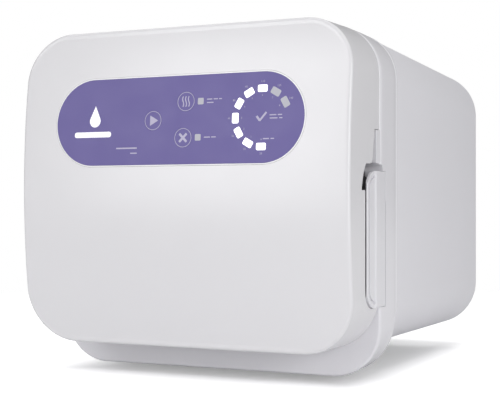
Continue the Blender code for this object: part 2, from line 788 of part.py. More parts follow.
def make_chamber():
    inner = [(CHAMBER_RADIUS, CHAMBER_FRONT), (CHAMBER_RADIUS, CHAMBER_STRAIGHT)]
    outer = []
    steps = 5
    for step in range(1, steps + 1):
        turn = math.pi / 2 * step / steps
        across, along = math.cos(turn), CHAMBER_STRAIGHT + CHAMBER_DOME * math.sin(turn)
        inner.append((CHAMBER_RADIUS * across, along))
        outer.append((CHAMBER_OUTER * across, along + CHAMBER_WALL * math.sin(turn)))
    inner[-1] = (0.0, CHAMBER_STRAIGHT + CHAMBER_DOME)
    outer[-1] = (0.0, CHAMBER_END)
    profile = inner + outer[::-1]
    profile += [(CHAMBER_OUTER, CHAMBER_STRAIGHT), (CHAMBER_OUTER, CHAMBER_FRONT + FLANGE_THICK)]
    profile += [(FLANGE_RADIUS, CHAMBER_FRONT + FLANGE_THICK), (FLANGE_RADIUS, CHAMBER_FRONT)]
    chamber = turned("chamber", profile + profile[:1], 0, MID_Z)
    return finish(chamber, "stainless")


def make_chamber_surround():
    hold_front = CHAMBER_FRONT + FLANGE_THICK + GAP
    around = CHAMBER_OUTER + 0.4
    collar = [(around, hold_front), (91, hold_front), (91, BULKHEAD_FRONT - GAP)]
    collar += [(around, BULKHEAD_FRONT - GAP)]
    finish(turned("mounting_collar", collar, 0, MID_Z, closed=True), "aluminium")
    heater_radius = 84.2
    heater = [(around, 110), (heater_radius, 110), (heater_radius, 262), (around, 262)]
    finish(turned("heater_band", heater, 0, MID_Z, closed=True), "stainless")
    near, far = BULKHEAD_FRONT + SHEET + 0.6, 280.0
    jacket = [(heater_radius + 0.4, near), (JACKET_RADIUS, near), (JACKET_RADIUS, far)]
    jacket += [(heater_radius + 0.4, far)]
    finish(turned("insulation_jacket", jacket, 0, MID_Z, closed=True), "insulation")
    outline = half_outline(137.0, 14.0, 273.0, 40.0, 35.0)
    behind = BULKHEAD_FRONT + SHEET
    bulkhead = loft("front_bulkhead", [ring(outline, BULKHEAD_FRONT), ring(outline, behind)])
    hole = cylinder("bulkhead_hole", around + 0.2, (0, 60, MID_Z), (0, 80, MID_Z), TURNED_STEPS)
    cut(bulkhead, hole)
    finish(bulkhead, "zinc")
    saddle = JACKET_RADIUS + 0.4
    reach = math.degrees(math.asin(60.0 / saddle))
    outline = [(-60.0, BASE_BOTTOM + SHEET + GAP), (60.0, BASE_BOTTOM + SHEET + GAP)]
    outline += arc((0, MID_Z), saddle, -90 + reach, -90 - reach, 12)
    finish(prism("chamber_cradle", outline, "Y", 230.0, 246.0), "zinc")


def make_trays():
    """Rack of bent sheet with two ledges a side, and a perforated tray on each pair."""
    near, far = 64.0, 282.0
    side, sheet, low, high = 55.5, 1.2, -53.0, 25.0
    ledge, ledges = 5.3, (-22.0, 5.0)
    outline = [(side, low), (side, high), (side - sheet, high)]
    for z in reversed(ledges):
        outline += [(side - sheet, z + sheet), (side - sheet - ledge, z + sheet)]
        outline += [(side - sheet - ledge, z), (side - sheet, z)]
    outline += [(side - sheet, low + sheet)]
    outline = [(x, MID_Z + z) for x, z in outline]
    outline += [(-x, z) for x, z in reversed(outline)]
    rack = prism("tray_rack", outline, "Y", near, far)
    for index in range(4):
        y = near + 22 + 52 * index
        window = box(f"rack_window_{index}", (-38, y, MID_Z - 60), (38, y + 26, MID_Z - 45))
        cut(rack, window)
    finish(rack, "aluminium")
    for name, z in zip(("tray_lower", "tray_upper"), ledges):
        bottom = MID_Z + z + sheet + GAP
        half, deep = side - sheet - 0.6, 10.0
        tray = box(name, (-half, near + 2, bottom), (half, far - 2, bottom + deep))
        inside = box(
            name + "_inside",
            (-half + 1, near + 3, bottom + 1),
            (half - 1, far - 3, bottom + deep + 5),
        )
        cut(tray, inside)
        for column in (-30.0, 0.0, 30.0):
            for row in range(4):
                y = near + 20 + 52 * row
                slot = box(
                    f"{name}_slot_{column:.0f}_{row}",
                    (column - 2.5, y, bottom - 5),
                    (column + 2.5, y + 30, bottom + 5),
                )
                cut(tray, slot)
        finish(tray, "aluminium")


# ---------------------------------------------------------------- steam and power


def make_plumbing():
    solenoid = box("exhaust_solenoid", (-128.0, 262.0, 226.0), (-102.0, 292.0, 250.0))
    coil = cylinder("solenoid_coil", 9.0, (-115.0, 277.0, 205.0), (-115.0, 277.0, 230.0), 20)
    add(solenoid, coil)
    finish(solenoid, "brass")
    dome = CHAMBER_END + 0.5
    steam = [(-30, dome, MID_Z + 20), (-30, 314, MID_Z + 20), (-96, 314, 238), (-108, 310, 244)]
    steam += [(-108, 292 + GAP, 244)]
    finish(pipe("steam_pipe", 2.5, steam), "copper")
    drain_front = 322.5
    waste = [(-120, 292 + GAP, 232), (-120, 310, 232), (-118, 312, 190), (-112, 312, 90)]
    waste += [(DRAIN_X, 311, DRAIN_Z), (DRAIN_X, drain_front - GAP, DRAIN_Z)]
    finish(pipe("drain_pipe", 2.5, waste), "copper")
    drain = [(3.2, drain_front), (4.9, drain_front)]
    drain += [(4.9, PANEL_FACE + GAP), (8, PANEL_FACE + GAP)]
    drain += [(8, PANEL_FACE + 3), (4.6, PANEL_FACE + 3), (5.2, 337), (4.3, 341), (4.3, 344.5)]
    drain += [(3.2, 344.5)]
    finish(turned("drain_outlet", drain, DRAIN_X, DRAIN_Z, SMALL_STEPS, closed=True), "brass")
    valve_front = 322.5
    relief = [(25, 302.3, MID_Z + 25), (25, 312, MID_Z + 25), (VALVE_X, 312, VALVE_Z)]
    relief += [(VALVE_X, valve_front - GAP, VALVE_Z)]
    finish(pipe("relief_pipe", 2.5, relief), "copper")
    ring_front = 338.0
    valve = [(0, valve_front), (7, valve_front)]
    valve += [(7, PANEL_FACE + GAP), (10, PANEL_FACE + GAP)]
    valve += [(10, PANEL_FACE + 4), (6, PANEL_FACE + 5), (6, ring_front - 1), (0, ring_front - 1)]
    finish(turned("safety_valve", valve, VALVE_X, VALVE_Z, SMALL_STEPS), "brass")
    stem = cylinder(
        "valve_pull_ring",
        2.0,
        (VALVE_X, ring_front - 0.6, VALVE_Z),
        (VALVE_X, 344.0, VALVE_Z),
        12,
    )
    hoop = turned(
        "valve_hoop",
        [(6.4, 341.2), (7.8, 341.2), (7.8, 342.8), (6.4, 342.8)],
        VALVE_X,
        VALVE_Z - 8.4,
        SMALL_STEPS,
        closed=True,
    )
    add(stem, hoop)
    finish(stem, "stainless", "valve_ring")
    sensor = [(0, CHAMBER_END + GAP), (7, CHAMBER_END + GAP), (7, 314), (4, 315), (4, 321), (0, 321)]
    finish(turned("pressure_sensor", sensor, 0, MID_Z, SMALL_STEPS), "brass")
    stat = [(0, dome), (8, dome), (8, 312), (0, 312)]
    finish(turned("overheat_thermostat", stat, 25, MID_Z - 25, SMALL_STEPS), "black_plastic")


def make_electrics():
    board = box("power_board", (121.0, 190.0, 50.0), (122.6, 306.0, 122.0))
    parts = (
        ("board_heatsink", (108.0, 200.0, 60.0), (121.5, 230.0, 84.0)),
        ("board_relay", (106.0, 240.0, 56.0), (121.5, 262.0, 76.0)),
        ("board_terminals", (110.0, 270.0, 92.0), (121.5, 300.0, 104.0)),
    )
    for name, low, high in parts:
        add(board, box(name, low, high))
    finish(board, "board_green")
    transformer = box("transformer", (-122.0, 220.0, 46.0), (-92.0, 268.0, 82.0))
    core = box("transformer_core", (-117.0, 210.0, 41.0), (-97.0, 278.0, 77.0))
    add(transformer, core)
    finish(transformer, "zinc")


def make_mains_parts():
    x, z = INLET_X, INLET_Z
    inlet = box("mains_inlet", (x - 13.5, 308.0, z - 9.8), (x + 13.5, 330.0, z + 9.8))
    flange = box("inlet_flange", (x - 17, PANEL_FACE + GAP, z - 13), (x + 17, 332.5, z + 13))
    socket = box("inlet_socket", (x - 12, 315.0, z - 8.2), (x + 12, 340.0, z + 8.2))
    add(inlet, flange)
    cut(inlet, socket)
    for shift, height in ((-7.0, -2.0), (0.0, 2.0), (7.0, -2.0)):
        pin = box(
            f"inlet_pin_{shift:.0f}",
            (x + shift - 1, 313.0, z + height - 2),
            (x + shift + 1, 330.0, z + height + 2),
        )
        add(inlet, pin)
    finish(inlet, "black_plastic")
    for name, (fuse_x, fuse_z) in FUSES.items():
        body = [(0, 300), (5.9, 300), (5.9, PANEL_FACE + GAP), (8, PANEL_FACE + GAP)]
        body += [(8, 337), (7, 338), (0, 338)]
        finish(turned(name, body, fuse_x, fuse_z, SMALL_STEPS), "black_plastic")
    for name, (screw_x, screw_z) in SCREWS.items():
        body = [(0, 318), (1.5, 318), (1.5, PANEL_FACE + GAP), (3.6, PANEL_FACE + GAP)]
        body += [(3.2, PANEL_FACE + 2), (0, PANEL_FACE + 2.4)]
        finish(turned(name, body, screw_x, screw_z, SMALL_STEPS), "stainless")


def make_switch():
    """Mains switch: a housing open at the rear, and a rocker on a cross pivot."""
    x, z, y = ROCKER_X, ROCKER_Z, ROCKER_PIVOT_Y
    housing = box("switch_housing", (x - 10.5, 308.0, z - 10.3), (x + 10.5, 330.0, z + 10.3))
    flange = box("switch_flange", (x - 13, PANEL_FACE + GAP, z - 13), (x + 13, 332.0, z + 13))
    inside = box("switch_inside", (x - 7.5, 316.0, z - 8.3), (x + 7.5, 340.0, z + 8.3))
    add(housing, flange)
    cut(housing, inside)
    finish(housing, "black_plastic")
    level = [(3.4, 7.4), (1.6, 0.0), (3.4, -7.4), (-2.5, -6.2), (-5.0, 0.0), (-2.5, 6.2)]
    turn = Matrix.Rotation(math.radians(ROCKER_TILT), 2)
    outline = [Vector((y, z)) + turn @ Vector(point) for point in level]
    rocker = prism("mains_rocker", outline, "X", x - 7.1, x + 7.1)
    return finish(rocker, "black_plastic", "rocker")


def main():
    clear_scene()
    make_finishes()
    make_bodies()
    make_door_shell()
    make_door_liner()
    make_door_structure()
    make_latch_strike()
    make_control_panel()
    make_hinges()
    make_lever()
    make_front_frame()
    make_rear_cover()
    make_base_and_feet()
    make_rear_panel()
    make_chamber()
    make_chamber_surround()
    make_trays()
    make_plumbing()
    make_electrics()
    make_mains_parts()
    make_switch()


main()
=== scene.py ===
"""Visual model of a benchtop autoclave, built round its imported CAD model.

Sizes are in millimetres in the assembly's own frame, as in the CAD source: X is 0 at
the middle of the door, Y is 0 at the door's upper and lower front edges and grows to
the back, and Z is 0 on the bench. place() turns such a point into the row frame.
"""

import json
import math

import bmesh
import bpy
from mathutils import Matrix, Vector


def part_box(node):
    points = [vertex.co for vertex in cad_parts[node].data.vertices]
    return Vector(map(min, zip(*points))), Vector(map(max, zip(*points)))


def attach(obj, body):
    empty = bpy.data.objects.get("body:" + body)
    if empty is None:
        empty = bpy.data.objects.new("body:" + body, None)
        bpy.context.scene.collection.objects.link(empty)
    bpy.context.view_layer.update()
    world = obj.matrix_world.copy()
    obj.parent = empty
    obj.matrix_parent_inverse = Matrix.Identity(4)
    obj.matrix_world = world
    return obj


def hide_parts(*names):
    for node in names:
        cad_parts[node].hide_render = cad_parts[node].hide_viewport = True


MM = 0.001

# Sizes that the pieces share with the CAD model
DOOR_DEPTH = 51.1
DOOR_CROWN = 11.9
DOOR_EDGE = 2.5
DOOR_FLARE = 0.8
DOOR_WALL = 3.0
DOOR_RADIUS_LOW = 43.3
DOOR_RADIUS_TOP = 39.6
HALF_DOOR = 142.8
DOOR_BOTTOM = 29.2
DOOR_TOP = 279.2
MID_Z = (DOOR_BOTTOM + DOOR_TOP) / 2
POCKET_FLOOR = 122.0
RECESS_X = 141.5
LEVER_PIVOT = (137.6, 59.5)
LEVER_SWEEP = 7.6
LEVER_LOW = 62.1
LEVER_HIGH = 165.8
PANEL_X = -1.4
PANEL_Z = 205.6
PANEL_HALF_WIDTH = 108.95
PANEL_HALF_HEIGHT = 34.85
PANEL_PROUD = 0.2
PANEL_THICK = 3.0
INK_THICK = 0.12
KEYS = {"key_start": (-20.7, 205.7), "key_dry": (7.8, 219.6), "key_cancel": (6.2, 191.7)}
KEY_RADIUS = 7.62
DIAL_X = 72.4
DIAL_Z = 205.4
DIAL_RADIUS = 21.8
COVER_FRONT = 84.8
COVER_REAR = 345.5
PANEL_FACE = 329.0
PANEL_CUT = (320.0, 335.0)
VALVE = (62.0, 222.0)
DRAIN = (-95.0, 62.0)
INLET = (95.0, 62.0)
ROCKER = (95.0, 102.0)
FUSES = {"fuse_holder_left": (48.0, 62.0), "fuse_holder_right": (68.0, 62.0)}
SIDES = (("left", -1), ("right", 1))
SCREWS = {
    f"panel_screw_{row}_{side}": (x * sign, z)
    for row, x, z in (("low", 122.0, 48.0), ("top", 118.0, 246.0))
    for side, sign in SIDES
}
FEET = {
    f"{end}_foot_{side}": (x * sign, y)
    for end, x, y in (("front", 80.0, 110.0), ("rear", 62.0, 262.0))
    for side, sign in SIDES
}
FOOT_HEIGHT = 27.6

# The floor's own light near the object and further off, and what it gives back to the object
FLOOR_NEAR = 0.3
FLOOR_FAR = 0.68
FLOOR_BOUNCE = 0.6
# The shaded floor's middle and half size along X and Y, in metres, and the width of its edge
SHADE = ((-0.005, 0.12), (0.04, 0.152))
SHADE_EDGE = 0.035
# The distances between which the floor turns plain white, in metres
FLOOR_FADE = (0.35, 0.9)
FLOOR_CORNERS = [(-8, -8), (8, -8), (8, 8), (-8, 8)]
# The surround: where it is brightest, and its strength opposite that and there
SKY_TOWARDS = (-0.3, -0.35, 0.88)
SKY_DIM = 0.073
SKY_BRIGHT = 0.302

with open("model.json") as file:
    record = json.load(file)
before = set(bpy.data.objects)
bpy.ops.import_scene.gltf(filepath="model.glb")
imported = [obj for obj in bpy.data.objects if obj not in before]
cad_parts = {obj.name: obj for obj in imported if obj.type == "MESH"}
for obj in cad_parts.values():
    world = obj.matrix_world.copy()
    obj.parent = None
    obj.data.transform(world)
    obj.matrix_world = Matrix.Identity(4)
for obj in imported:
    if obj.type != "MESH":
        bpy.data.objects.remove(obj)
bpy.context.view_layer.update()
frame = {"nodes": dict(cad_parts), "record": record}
shell_low, shell_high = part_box("door_shell")
ORIGIN = Vector(((shell_low.x + shell_high.x) / 2, shell_high.y - DOOR_DEPTH * MM, 0.0))


def place(x, y, z):
    return ORIGIN + Vector((x, y, z)) * MM


def configured(thing, **settings):
    """Sets attributes of a node, modifier, light, curve or camera, and gives it back."""
    for key, value in settings.items():
        setattr(thing, key, value)
    return thing


# ---------------------------------------------------------------- materials


class Nodes:
    """A material's or a world's node tree, with short calls for the nodes used here."""

    def __init__(self, holder, coordinate="Object"):
        holder.use_nodes = True
        self.holder = holder
        self.tree = holder.node_tree
        self.shader = self.tree.nodes.get("Principled BSDF")
        self.place = self.add("ShaderNodeTexCoord").outputs[coordinate]

    def add(self, kind, inputs=None, **settings):
        node = configured(self.tree.nodes.new(kind), **settings)
        for key, value in (inputs or {}).items():
            self.feed(node.inputs[key], value)
        return node

    def feed(self, socket, value):
        """Links a socket to another, or sets its value; a colour gets its alpha here."""
        if isinstance(value, bpy.types.NodeSocket):
            self.tree.links.new(value, socket)
        else:
            socket.default_value = (*value, 1.0) if socket.type == "RGBA" else value

    def set(self, **values):
        """Sets the shader's sockets and gives the material."""
        for key, value in values.items():
            self.feed(self.shader.inputs[key.replace("_", " ")], value)
        return self.holder

    def scaled(self, scale):
        return self.add("ShaderNodeMapping", {"Vector": self.place, "Scale": scale}).outputs[0]

    def noise(self, scale, vector=None, detail=3.0, roughness=0.5):
        inputs = {"Vector": vector or self.place, "Scale": scale}
        inputs.update({"Detail": detail, "Roughness": roughness})
        return self.add("ShaderNodeTexNoise", inputs).outputs["Fac"]

    def math(self, operation, *values):
        return self.add("ShaderNodeMath", dict(enumerate(values)), operation=operation).outputs[0]

    def vector(self, operation, *values, output="Vector"):
        inputs = dict(enumerate(values))
        return self.add("ShaderNodeVectorMath", inputs, operation=operation).outputs[output]

    def spread(self, value, low, high, start=0.3, end=0.7):
        inputs = {"Value": value, "From Min": start, "From Max": end, "To Min": low, "To Max": high}
        return self.add("ShaderNodeMapRange", inputs).outputs[0]

    def mix(self, factor, first, second):
        inputs = {0: factor, 6: first, 7: second}
        return self.add("ShaderNodeMix", inputs, data_type="RGBA").outputs[2]

    def shades(self, factor, colour, dark, light):
        return self.mix(factor, tint(colour, dark), tint(colour, light))

    def output(self, inputs):
        """Ends the tree with a mix of two shaders."""
        mixed = self.add("ShaderNodeMixShader", inputs).outputs[0]
        kind = "World Output" if self.shader is None else "Material Output"
        self.feed(self.tree.nodes[kind].inputs["Surface"], mixed)

    def bump(self, height, strength, distance):
        inputs = {"Height": height, "Strength": strength, "Distance": distance}
        self.set(Normal=self.add("ShaderNodeBump", inputs).outputs[0])


def tint(colour, factor):
    return tuple(min(1.0, channel * factor) for channel in colour)


def new_material(name):
    return Nodes(bpy.data.materials.new(name))


def moulded(name, colour, roughness, shift, grain=500.0, depth=0.02):
    """Moulded plastic or paint: fine grain, faint clouding and uneven gloss."""
    n = new_material(name)
    n.bump(n.noise(grain, detail=2.0), depth, 0.00005)
    return n.set(
        Base_Color=n.shades(n.noise(9.0, detail=4.0), colour, 1 - shift, 1 + shift),
        Roughness=n.spread(n.noise(35.0), roughness - 0.02, roughness + 0.03),
    )


def metal(name, colour, roughness, stretch=None, radial=None):
    """Metal with drawn lines along one direction, or turned lines round an axis along Y."""
    n = new_material(name)
    if radial:
        from_axis = n.vector("SUBTRACT", n.place, place(radial[0], 0.0, radial[1]))
        size = n.vector("LENGTH", n.vector("MULTIPLY", from_axis, (1, 0, 1)), output="Value")
        depth = n.add("ShaderNodeSeparateXYZ", {0: n.place}).outputs["Y"]
        lines = n.noise(2200.0, n.add("ShaderNodeCombineXYZ", {0: size, 1: depth}).outputs[0], 2.0)
    else:
        lines = n.noise(1.0, n.scaled(stretch), 3.0, 0.6)
    smears = n.noise(28.0, detail=4.0)
    mixed = n.math("ADD", n.math("MULTIPLY", lines, 0.6), n.math("MULTIPLY", smears, 0.4))
    n.bump(lines, 0.15, 0.00006)
    return n.set(
        Base_Color=n.mix(smears, n.shades(lines, colour, 0.86, 1.06), tint(colour, 0.97)),
        Roughness=n.spread(mixed, roughness - 0.08, roughness + 0.1),
        Metallic=1.0,
    )


def galvanised(name, colour):
    n = new_material(name)
    cells = n.add("ShaderNodeTexVoronoi", {"Vector": n.place, "Scale": 190.0})
    grey = n.add("ShaderNodeRGBToBW", {0: cells.outputs["Color"]}).outputs[0]
    n.bump(n.noise(900.0), 0.08, 0.0001)
    roughness = n.spread(grey, 0.3, 0.48, 0.2, 0.8)
    return n.set(Base_Color=n.shades(grey, colour, 0.85, 1.12), Roughness=roughness, Metallic=1.0)


def rubbery(name, colour, roughness, soft=0.0):
    n = new_material(name)
    dust = n.noise(60.0, detail=5.0)
    n.bump(n.noise(1800.0), 0.12, 0.0001)
    return n.set(
        Base_Color=n.shades(dust, colour, 1.0, 1.35),
        Roughness=n.spread(dust, roughness - 0.06, roughness + 0.08),
        Subsurface_Weight=soft,
        Subsurface_Radius=(0.002, 0.002, 0.0018),
    )


def circuit(name):
    """Solder mask over copper tracks."""
    n = new_material(name)
    inputs = {"Vector": n.place, "Scale": 160.0, "Mortar Size": 0.035}
    tracks = n.add("ShaderNodeTexBrick", inputs).outputs["Fac"]
    board = n.mix(n.noise(300.0), (0.012, 0.10, 0.04), (0.02, 0.14, 0.06))
    n.bump(tracks, 0.3, 0.0001)
    return n.set(
        Base_Color=n.mix(tracks, board, (0.05, 0.24, 0.10)),
        Roughness=n.spread(n.noise(80.0), 0.3, 0.45),
    )


def fibrous(name, colour):
    n = new_material(name)
    strands = n.noise(1.0, n.scaled((500.0, 60.0, 500.0)), 6.0, 0.7)
    tufts = n.noise(45.0, detail=5.0)
    n.bump(n.math("ADD", strands, tufts), 0.6, 0.0006)
    return n.set(Base_Color=n.shades(strands, colour, 0.7, 1.1), Roughness=n.spread(tufts, 0.8, 0.98))


def heater(name):
    n = new_material(name)
    inputs = {"Vector": n.place, "Scale": 60.0, "Distortion": 0.4}
    bands = n.add("ShaderNodeTexWave", inputs, bands_direction="Y").outputs["Fac"]
    n.bump(bands, 0.3, 0.0004)
    return n.set(
        Base_Color=n.mix(bands, (0.46, 0.42, 0.35), (0.64, 0.60, 0.52)),
        Roughness=n.spread(n.noise(90.0), 0.35, 0.6),
    )


def overlay(name, colour):
    """Printed polyester overlay: very fine texture, a little darker where ink is thicker."""
    n = new_material(name)
    n.bump(n.noise(3800.0, detail=1.0), 0.05, 0.0001)
    return n.set(
        Base_Color=n.shades(n.noise(14.0), colour, 0.965, 1.035),
        Roughness=n.spread(n.noise(60.0), 0.42, 0.5),
    )


def printed(name, colour, glow=0.0):
    """Ink, or with a glow a window that has a lamp behind it; a glow on ink with no lamp behind it is
    painted light.
    """
    n = new_material(name)
    grain = n.noise(420.0, detail=2.0)
    n.bump(n.noise(3000.0), 0.03, 0.0001)
    if glow:
        strength = n.spread(grain, glow * 0.94, glow * 1.06)
        n.set(Emission_Color=(1.0, 0.99, 1.0), Emission_Strength=strength)
    return n.set(
        Base_Color=n.shades(grain, colour, 0.96, 1.04), Roughness=n.spread(grain, 0.4, 0.5)
    )


# The door's white is the casing's white plastic painted darker: painted shade that evens out the strong
# light on the door's front.
DOOR_WHITE_SHADED = (0.765, 0.758, 0.779)
PAINT = (0.80, 0.793, 0.828)
CASING = (0.795, 0.787, 0.82)
VIOLET = (0.139, 0.114, 0.338)
STEEL = (0.60, 0.60, 0.59)

MATERIALS = {
    # The door shell's white is painted darker: painted shade for its brightly lit front.
    "shell": moulded("door_white_painted_shade", DOOR_WHITE_SHADED, 0.22, 0.006),
    "casing": moulded("casing_white", CASING, 0.22, 0.006),
    # The panel rim is lighter than the door's white plastic: a painted highlight along the edge round
    # the panel.
    "rim": moulded("panel_rim_painted_highlight", (0.97, 0.97, 0.985), 0.22, 0.01),
    "paint": moulded("satin_paint", PAINT, 0.48, 0.01),
    "liner": moulded("liner_white", (0.74, 0.74, 0.77), 0.45, 0.015),
    "overlay": overlay("violet_overlay", VIOLET),
    "ink": printed("lilac_ink", (0.50, 0.47, 0.63)),
    # White ink with a faint glow: painted light, since no lamp is behind it.
    "ink_white_painted_glow": printed("white_ink_painted_glow", (0.92, 0.92, 0.95), glow=0.25),
    "unlit": printed("unlit_window", (0.50, 0.50, 0.56)),
    "lit": printed("lit_window", (0.95, 0.95, 0.97), glow=0.9),
    "stainless": metal("brushed_stainless", STEEL, 0.3, (60.0, 3000.0, 3000.0)),
    "turned_steel": metal("spun_stainless", STEEL, 0.26, radial=(0.0, MID_Z)),
    "chamber": metal("drawn_stainless", (0.66, 0.66, 0.65), 0.42, radial=(0.0, MID_Z)),
    "aluminium": metal("anodised_aluminium", (0.72, 0.73, 0.75), 0.38, (1800.0, 90.0, 1800.0)),
    "zinc": galvanised("zinc_plate", (0.55, 0.57, 0.60)),
    "copper": metal("copper_tube", (0.72, 0.40, 0.26), 0.34, (400.0, 400.0, 400.0)),
    "brass": metal("turned_brass", (0.76, 0.60, 0.30), 0.28, radial=VALVE),
    "heater": heater("mica_heater"),
    "silicone": rubbery("milky_silicone", (0.66, 0.65, 0.61), 0.42, soft=0.25),
    "rubber": rubbery("black_rubber", (0.022, 0.022, 0.024), 0.78),
    # Colour of a dark sheet in the lever's finger hole: painted shade.
    "finger_hole_shade": rubbery("finger_hole_painted_shade", (0.07, 0.07, 0.073), 0.7),
    "black": moulded("black_plastic", (0.024, 0.024, 0.027), 0.45, 0.12, 1800.0, 0.2),
    "board": circuit("circuit_board"),
    "insulation": fibrous("mineral_fibre", (0.70, 0.67, 0.58)),
}

# The looks of the CAD slots that have another name than their look
SLOT_LOOKS = {
    "white_plastic": "liner",
    "lever_plastic": "casing",
    "white_paint": "paint",
    "violet_overlay": "overlay",
    "lit_white": "lit",
    "heater_mica": "heater",
    "zinc_steel": "zinc",
    "black_plastic": "black",
    "board_green": "board",
}
NODE_SLOT = {part["node"]: part["material_slot"] for part in frame["record"]["subparts"]}
NODE_BODY = {
    node: body for body, nodes in frame["record"]["behaviour"]["bodies"].items() for node in nodes
}


# ---------------------------------------------------------------- mesh helpers


def linked(name, data):
    obj = bpy.data.objects.new(name, data)
    bpy.context.scene.collection.objects.link(obj)
    return obj


def to_object(name, bm):
    bmesh.ops.recalc_face_normals(bm, faces=bm.faces)
    mesh = bpy.data.meshes.new(name)
    bm.to_mesh(mesh)
    bm.free()
    return linked(name, mesh)


def evaluated_mesh(obj):
    """A new mesh of an object with its modifiers applied, or of a curve or a text."""
    graph = bpy.context.evaluated_depsgraph_get()
    return bpy.data.meshes.new_from_object(obj.evaluated_get(graph))


def baked(obj):
    """Applies an object's modifiers."""
    mesh, old = evaluated_mesh(obj), obj.data
    obj.modifiers.clear()
    obj.data = mesh
    bpy.data.meshes.remove(old)
    return obj


def combined(obj, operation, helpers):
    for helper in helpers:
        modifier = obj.modifiers.new(operation, "BOOLEAN")
        configured(modifier, operation=operation, solver="EXACT", object=helper)
    baked(obj)
    for helper in helpers:
        bpy.data.objects.remove(helper, do_unlink=True)
    return obj


def cut(obj, *helpers):
    return combined(obj, "DIFFERENCE", helpers)


def join(obj, *helpers):
    return combined(obj, "UNION", helpers)


def bevelled(obj, width, steps=2, angle=40.0):
    modifier = obj.modifiers.new("bevel", "BEVEL")
    configured(modifier, width=width * MM, segments=steps)
    configured(modifier, limit_method="ANGLE", angle_limit=math.radians(angle))
    return baked(obj)


def dressed(obj, look, sharp):
    """Gives an object one material, and smooth shading except over sharper edges."""
    obj.data.materials.clear()
    obj.data.materials.append(MATERIALS[look])
    obj.data.shade_smooth()
    obj.data.set_sharp_from_angle(angle=math.radians(sharp))


def piece(obj, look, *replaced, body=None, slot=None, sharp=32.0):
    """Gives an object its look and its body, and hides the CAD nodes that it stands for."""
    for polygon in obj.data.polygons:
        polygon.material_index = 0
    dressed(obj, look, sharp)
    obj.modifiers.new("normals", "WEIGHTED_NORMAL").keep_sharp = True
    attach(obj, body or NODE_BODY[replaced[0]])
    if replaced:
        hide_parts(*replaced)


def rounded_outline(half_width, bottom, top, radius_low, radius_top, corner, side=2):
    """Closed (x, z, normal x, normal z) outline; its left half mirrors the right one."""
    low, high = bottom + radius_low, top - radius_top
    right = []
    for z, radius, first in ((low, radius_low, -1), (high, radius_top, 0)):
        for step in range(corner + 1):
            angle = math.pi / 2 * (step / corner + first)
            c, s = math.cos(angle), math.sin(angle)
            right.append((half_width - radius * (1 - c), z + radius * s, c, s))
    straight = [low + (high - low) * step / side for step in range(1, side)]
    right[corner + 1 : corner + 1] = [(half_width, z, 1.0, 0.0) for z in straight]
    return right + [(-x, z, -c, s) for x, z, c, s in reversed(right)]


def ring(outline, y, grow=0.0, middle=0.0):
    """Points of an outline moved out; y is a number or depends on z, and grow on y."""
    points = []
    for x, z, nx, nz in outline:
        depth = y(z) if callable(y) else y
        out = grow(depth) if callable(grow) else grow
        points.append((middle + x + nx * out, depth, z + nz * out))
    return points


def skin(bm, loops, wrap=False):
    """Faces between each loop of verts and the next, and with wrap from the last to the first."""
    count = len(loops[0])
    for first, second in zip(loops, loops[1:] + loops[:1] if wrap else loops[1:]):
        for i in range(count):
            j = (i + 1) % count
            bm.faces.new((first[i], first[j], second[j], second[i]))


def loops_of(bm, rings):
    return [[bm.verts.new(place(*point)) for point in points] for points in rings]


def loft(name, rings, hollow=False):
    """Skins rings of mirrored outlines; its ends are strips from side to side."""
    bm = bmesh.new()
    loops = loops_of(bm, rings)
    skin(bm, loops, wrap=hollow)
    count = len(loops[0])
    for end in () if hollow else (loops[0], loops[-1]):
        for i in range(count // 2 - 1):
            bm.faces.new((end[i], end[i + 1], end[count - 2 - i], end[count - 1 - i]))
    bmesh.ops.dissolve_limit(bm, angle_limit=math.radians(0.02), verts=bm.verts, edges=bm.edges)
    return to_object(name, bm)


def fill(bm, rings):
    """Adds a skin through rings of points, with one flat face at each end."""
    loops = loops_of(bm, rings)
    skin(bm, loops)
    bm.faces.new(loops[0])
    bm.faces.new(loops[-1])


def capped(name, rings):
    bm = bmesh.new()
    fill(bm, rings)
    return to_object(name, bm)


def box(name, low, high):
    bm = bmesh.new()
    size = (Vector(high) - Vector(low)) * MM
    middle = place(*((Vector(high) + Vector(low)) / 2))
    matrix = Matrix.Translation(middle) @ Matrix.Diagonal((*size, 1.0))
    bmesh.ops.create_cube(bm, size=1.0, matrix=matrix)
    return to_object(name, bm)


def neighbours(polygon):
    """Each point of a polygon, with the point before it and the one after it."""
    points = [Vector(point) for point in polygon]
    return zip(points[-1:] + points[:-1], points, points[1:] + points[:1])


def offset(polygon, out):
    """A polygon with each edge moved out; it runs anticlockwise."""
    moved = []
    for before, here, after in neighbours(polygon):
        first, second = (here - before).normalized(), (after - here).normalized()
        normal = Vector((first.y + second.y, -first.x - second.x))
        reach = normal.length_squared / 2
        moved.append(tuple(here + normal * (out / max(reach, 0.3))))
    return moved


def bend(before, here, after, radius, steps):
    """Points of a curve that takes the place of a corner."""
    reach = min(radius, (before - here).length * 0.45, (after - here).length * 0.45)
    enter = here + (before - here).normalized() * reach
    leave = here + (after - here).normalized() * reach
    shares = [step / steps for step in range(steps + 1)]
    return [enter.lerp(here, t).lerp(here.lerp(leave, t), t) for t in shares]


def softened(polygon, radius, steps=5):
    """A polygon with each corner replaced by a curve of about that radius."""
    bends = [bend(*corner, radius, steps) for corner in neighbours(polygon)]
    return [tuple(point) for points in bends for point in points]


def prism(name, polygon, axis, *stations):
    """Skins an (a, b) polygon along an axis, through positions or (position, growth) pairs."""
    rings = []
    for station in stations:
        position, out = station if isinstance(station, tuple) else (station, 0)
        points = [list(point) for point in (offset(polygon, out) if out else polygon)]
        for point in points:
            point.insert("XYZ".index(axis), position)
        rings.append(points)
    return capped(name, rings)


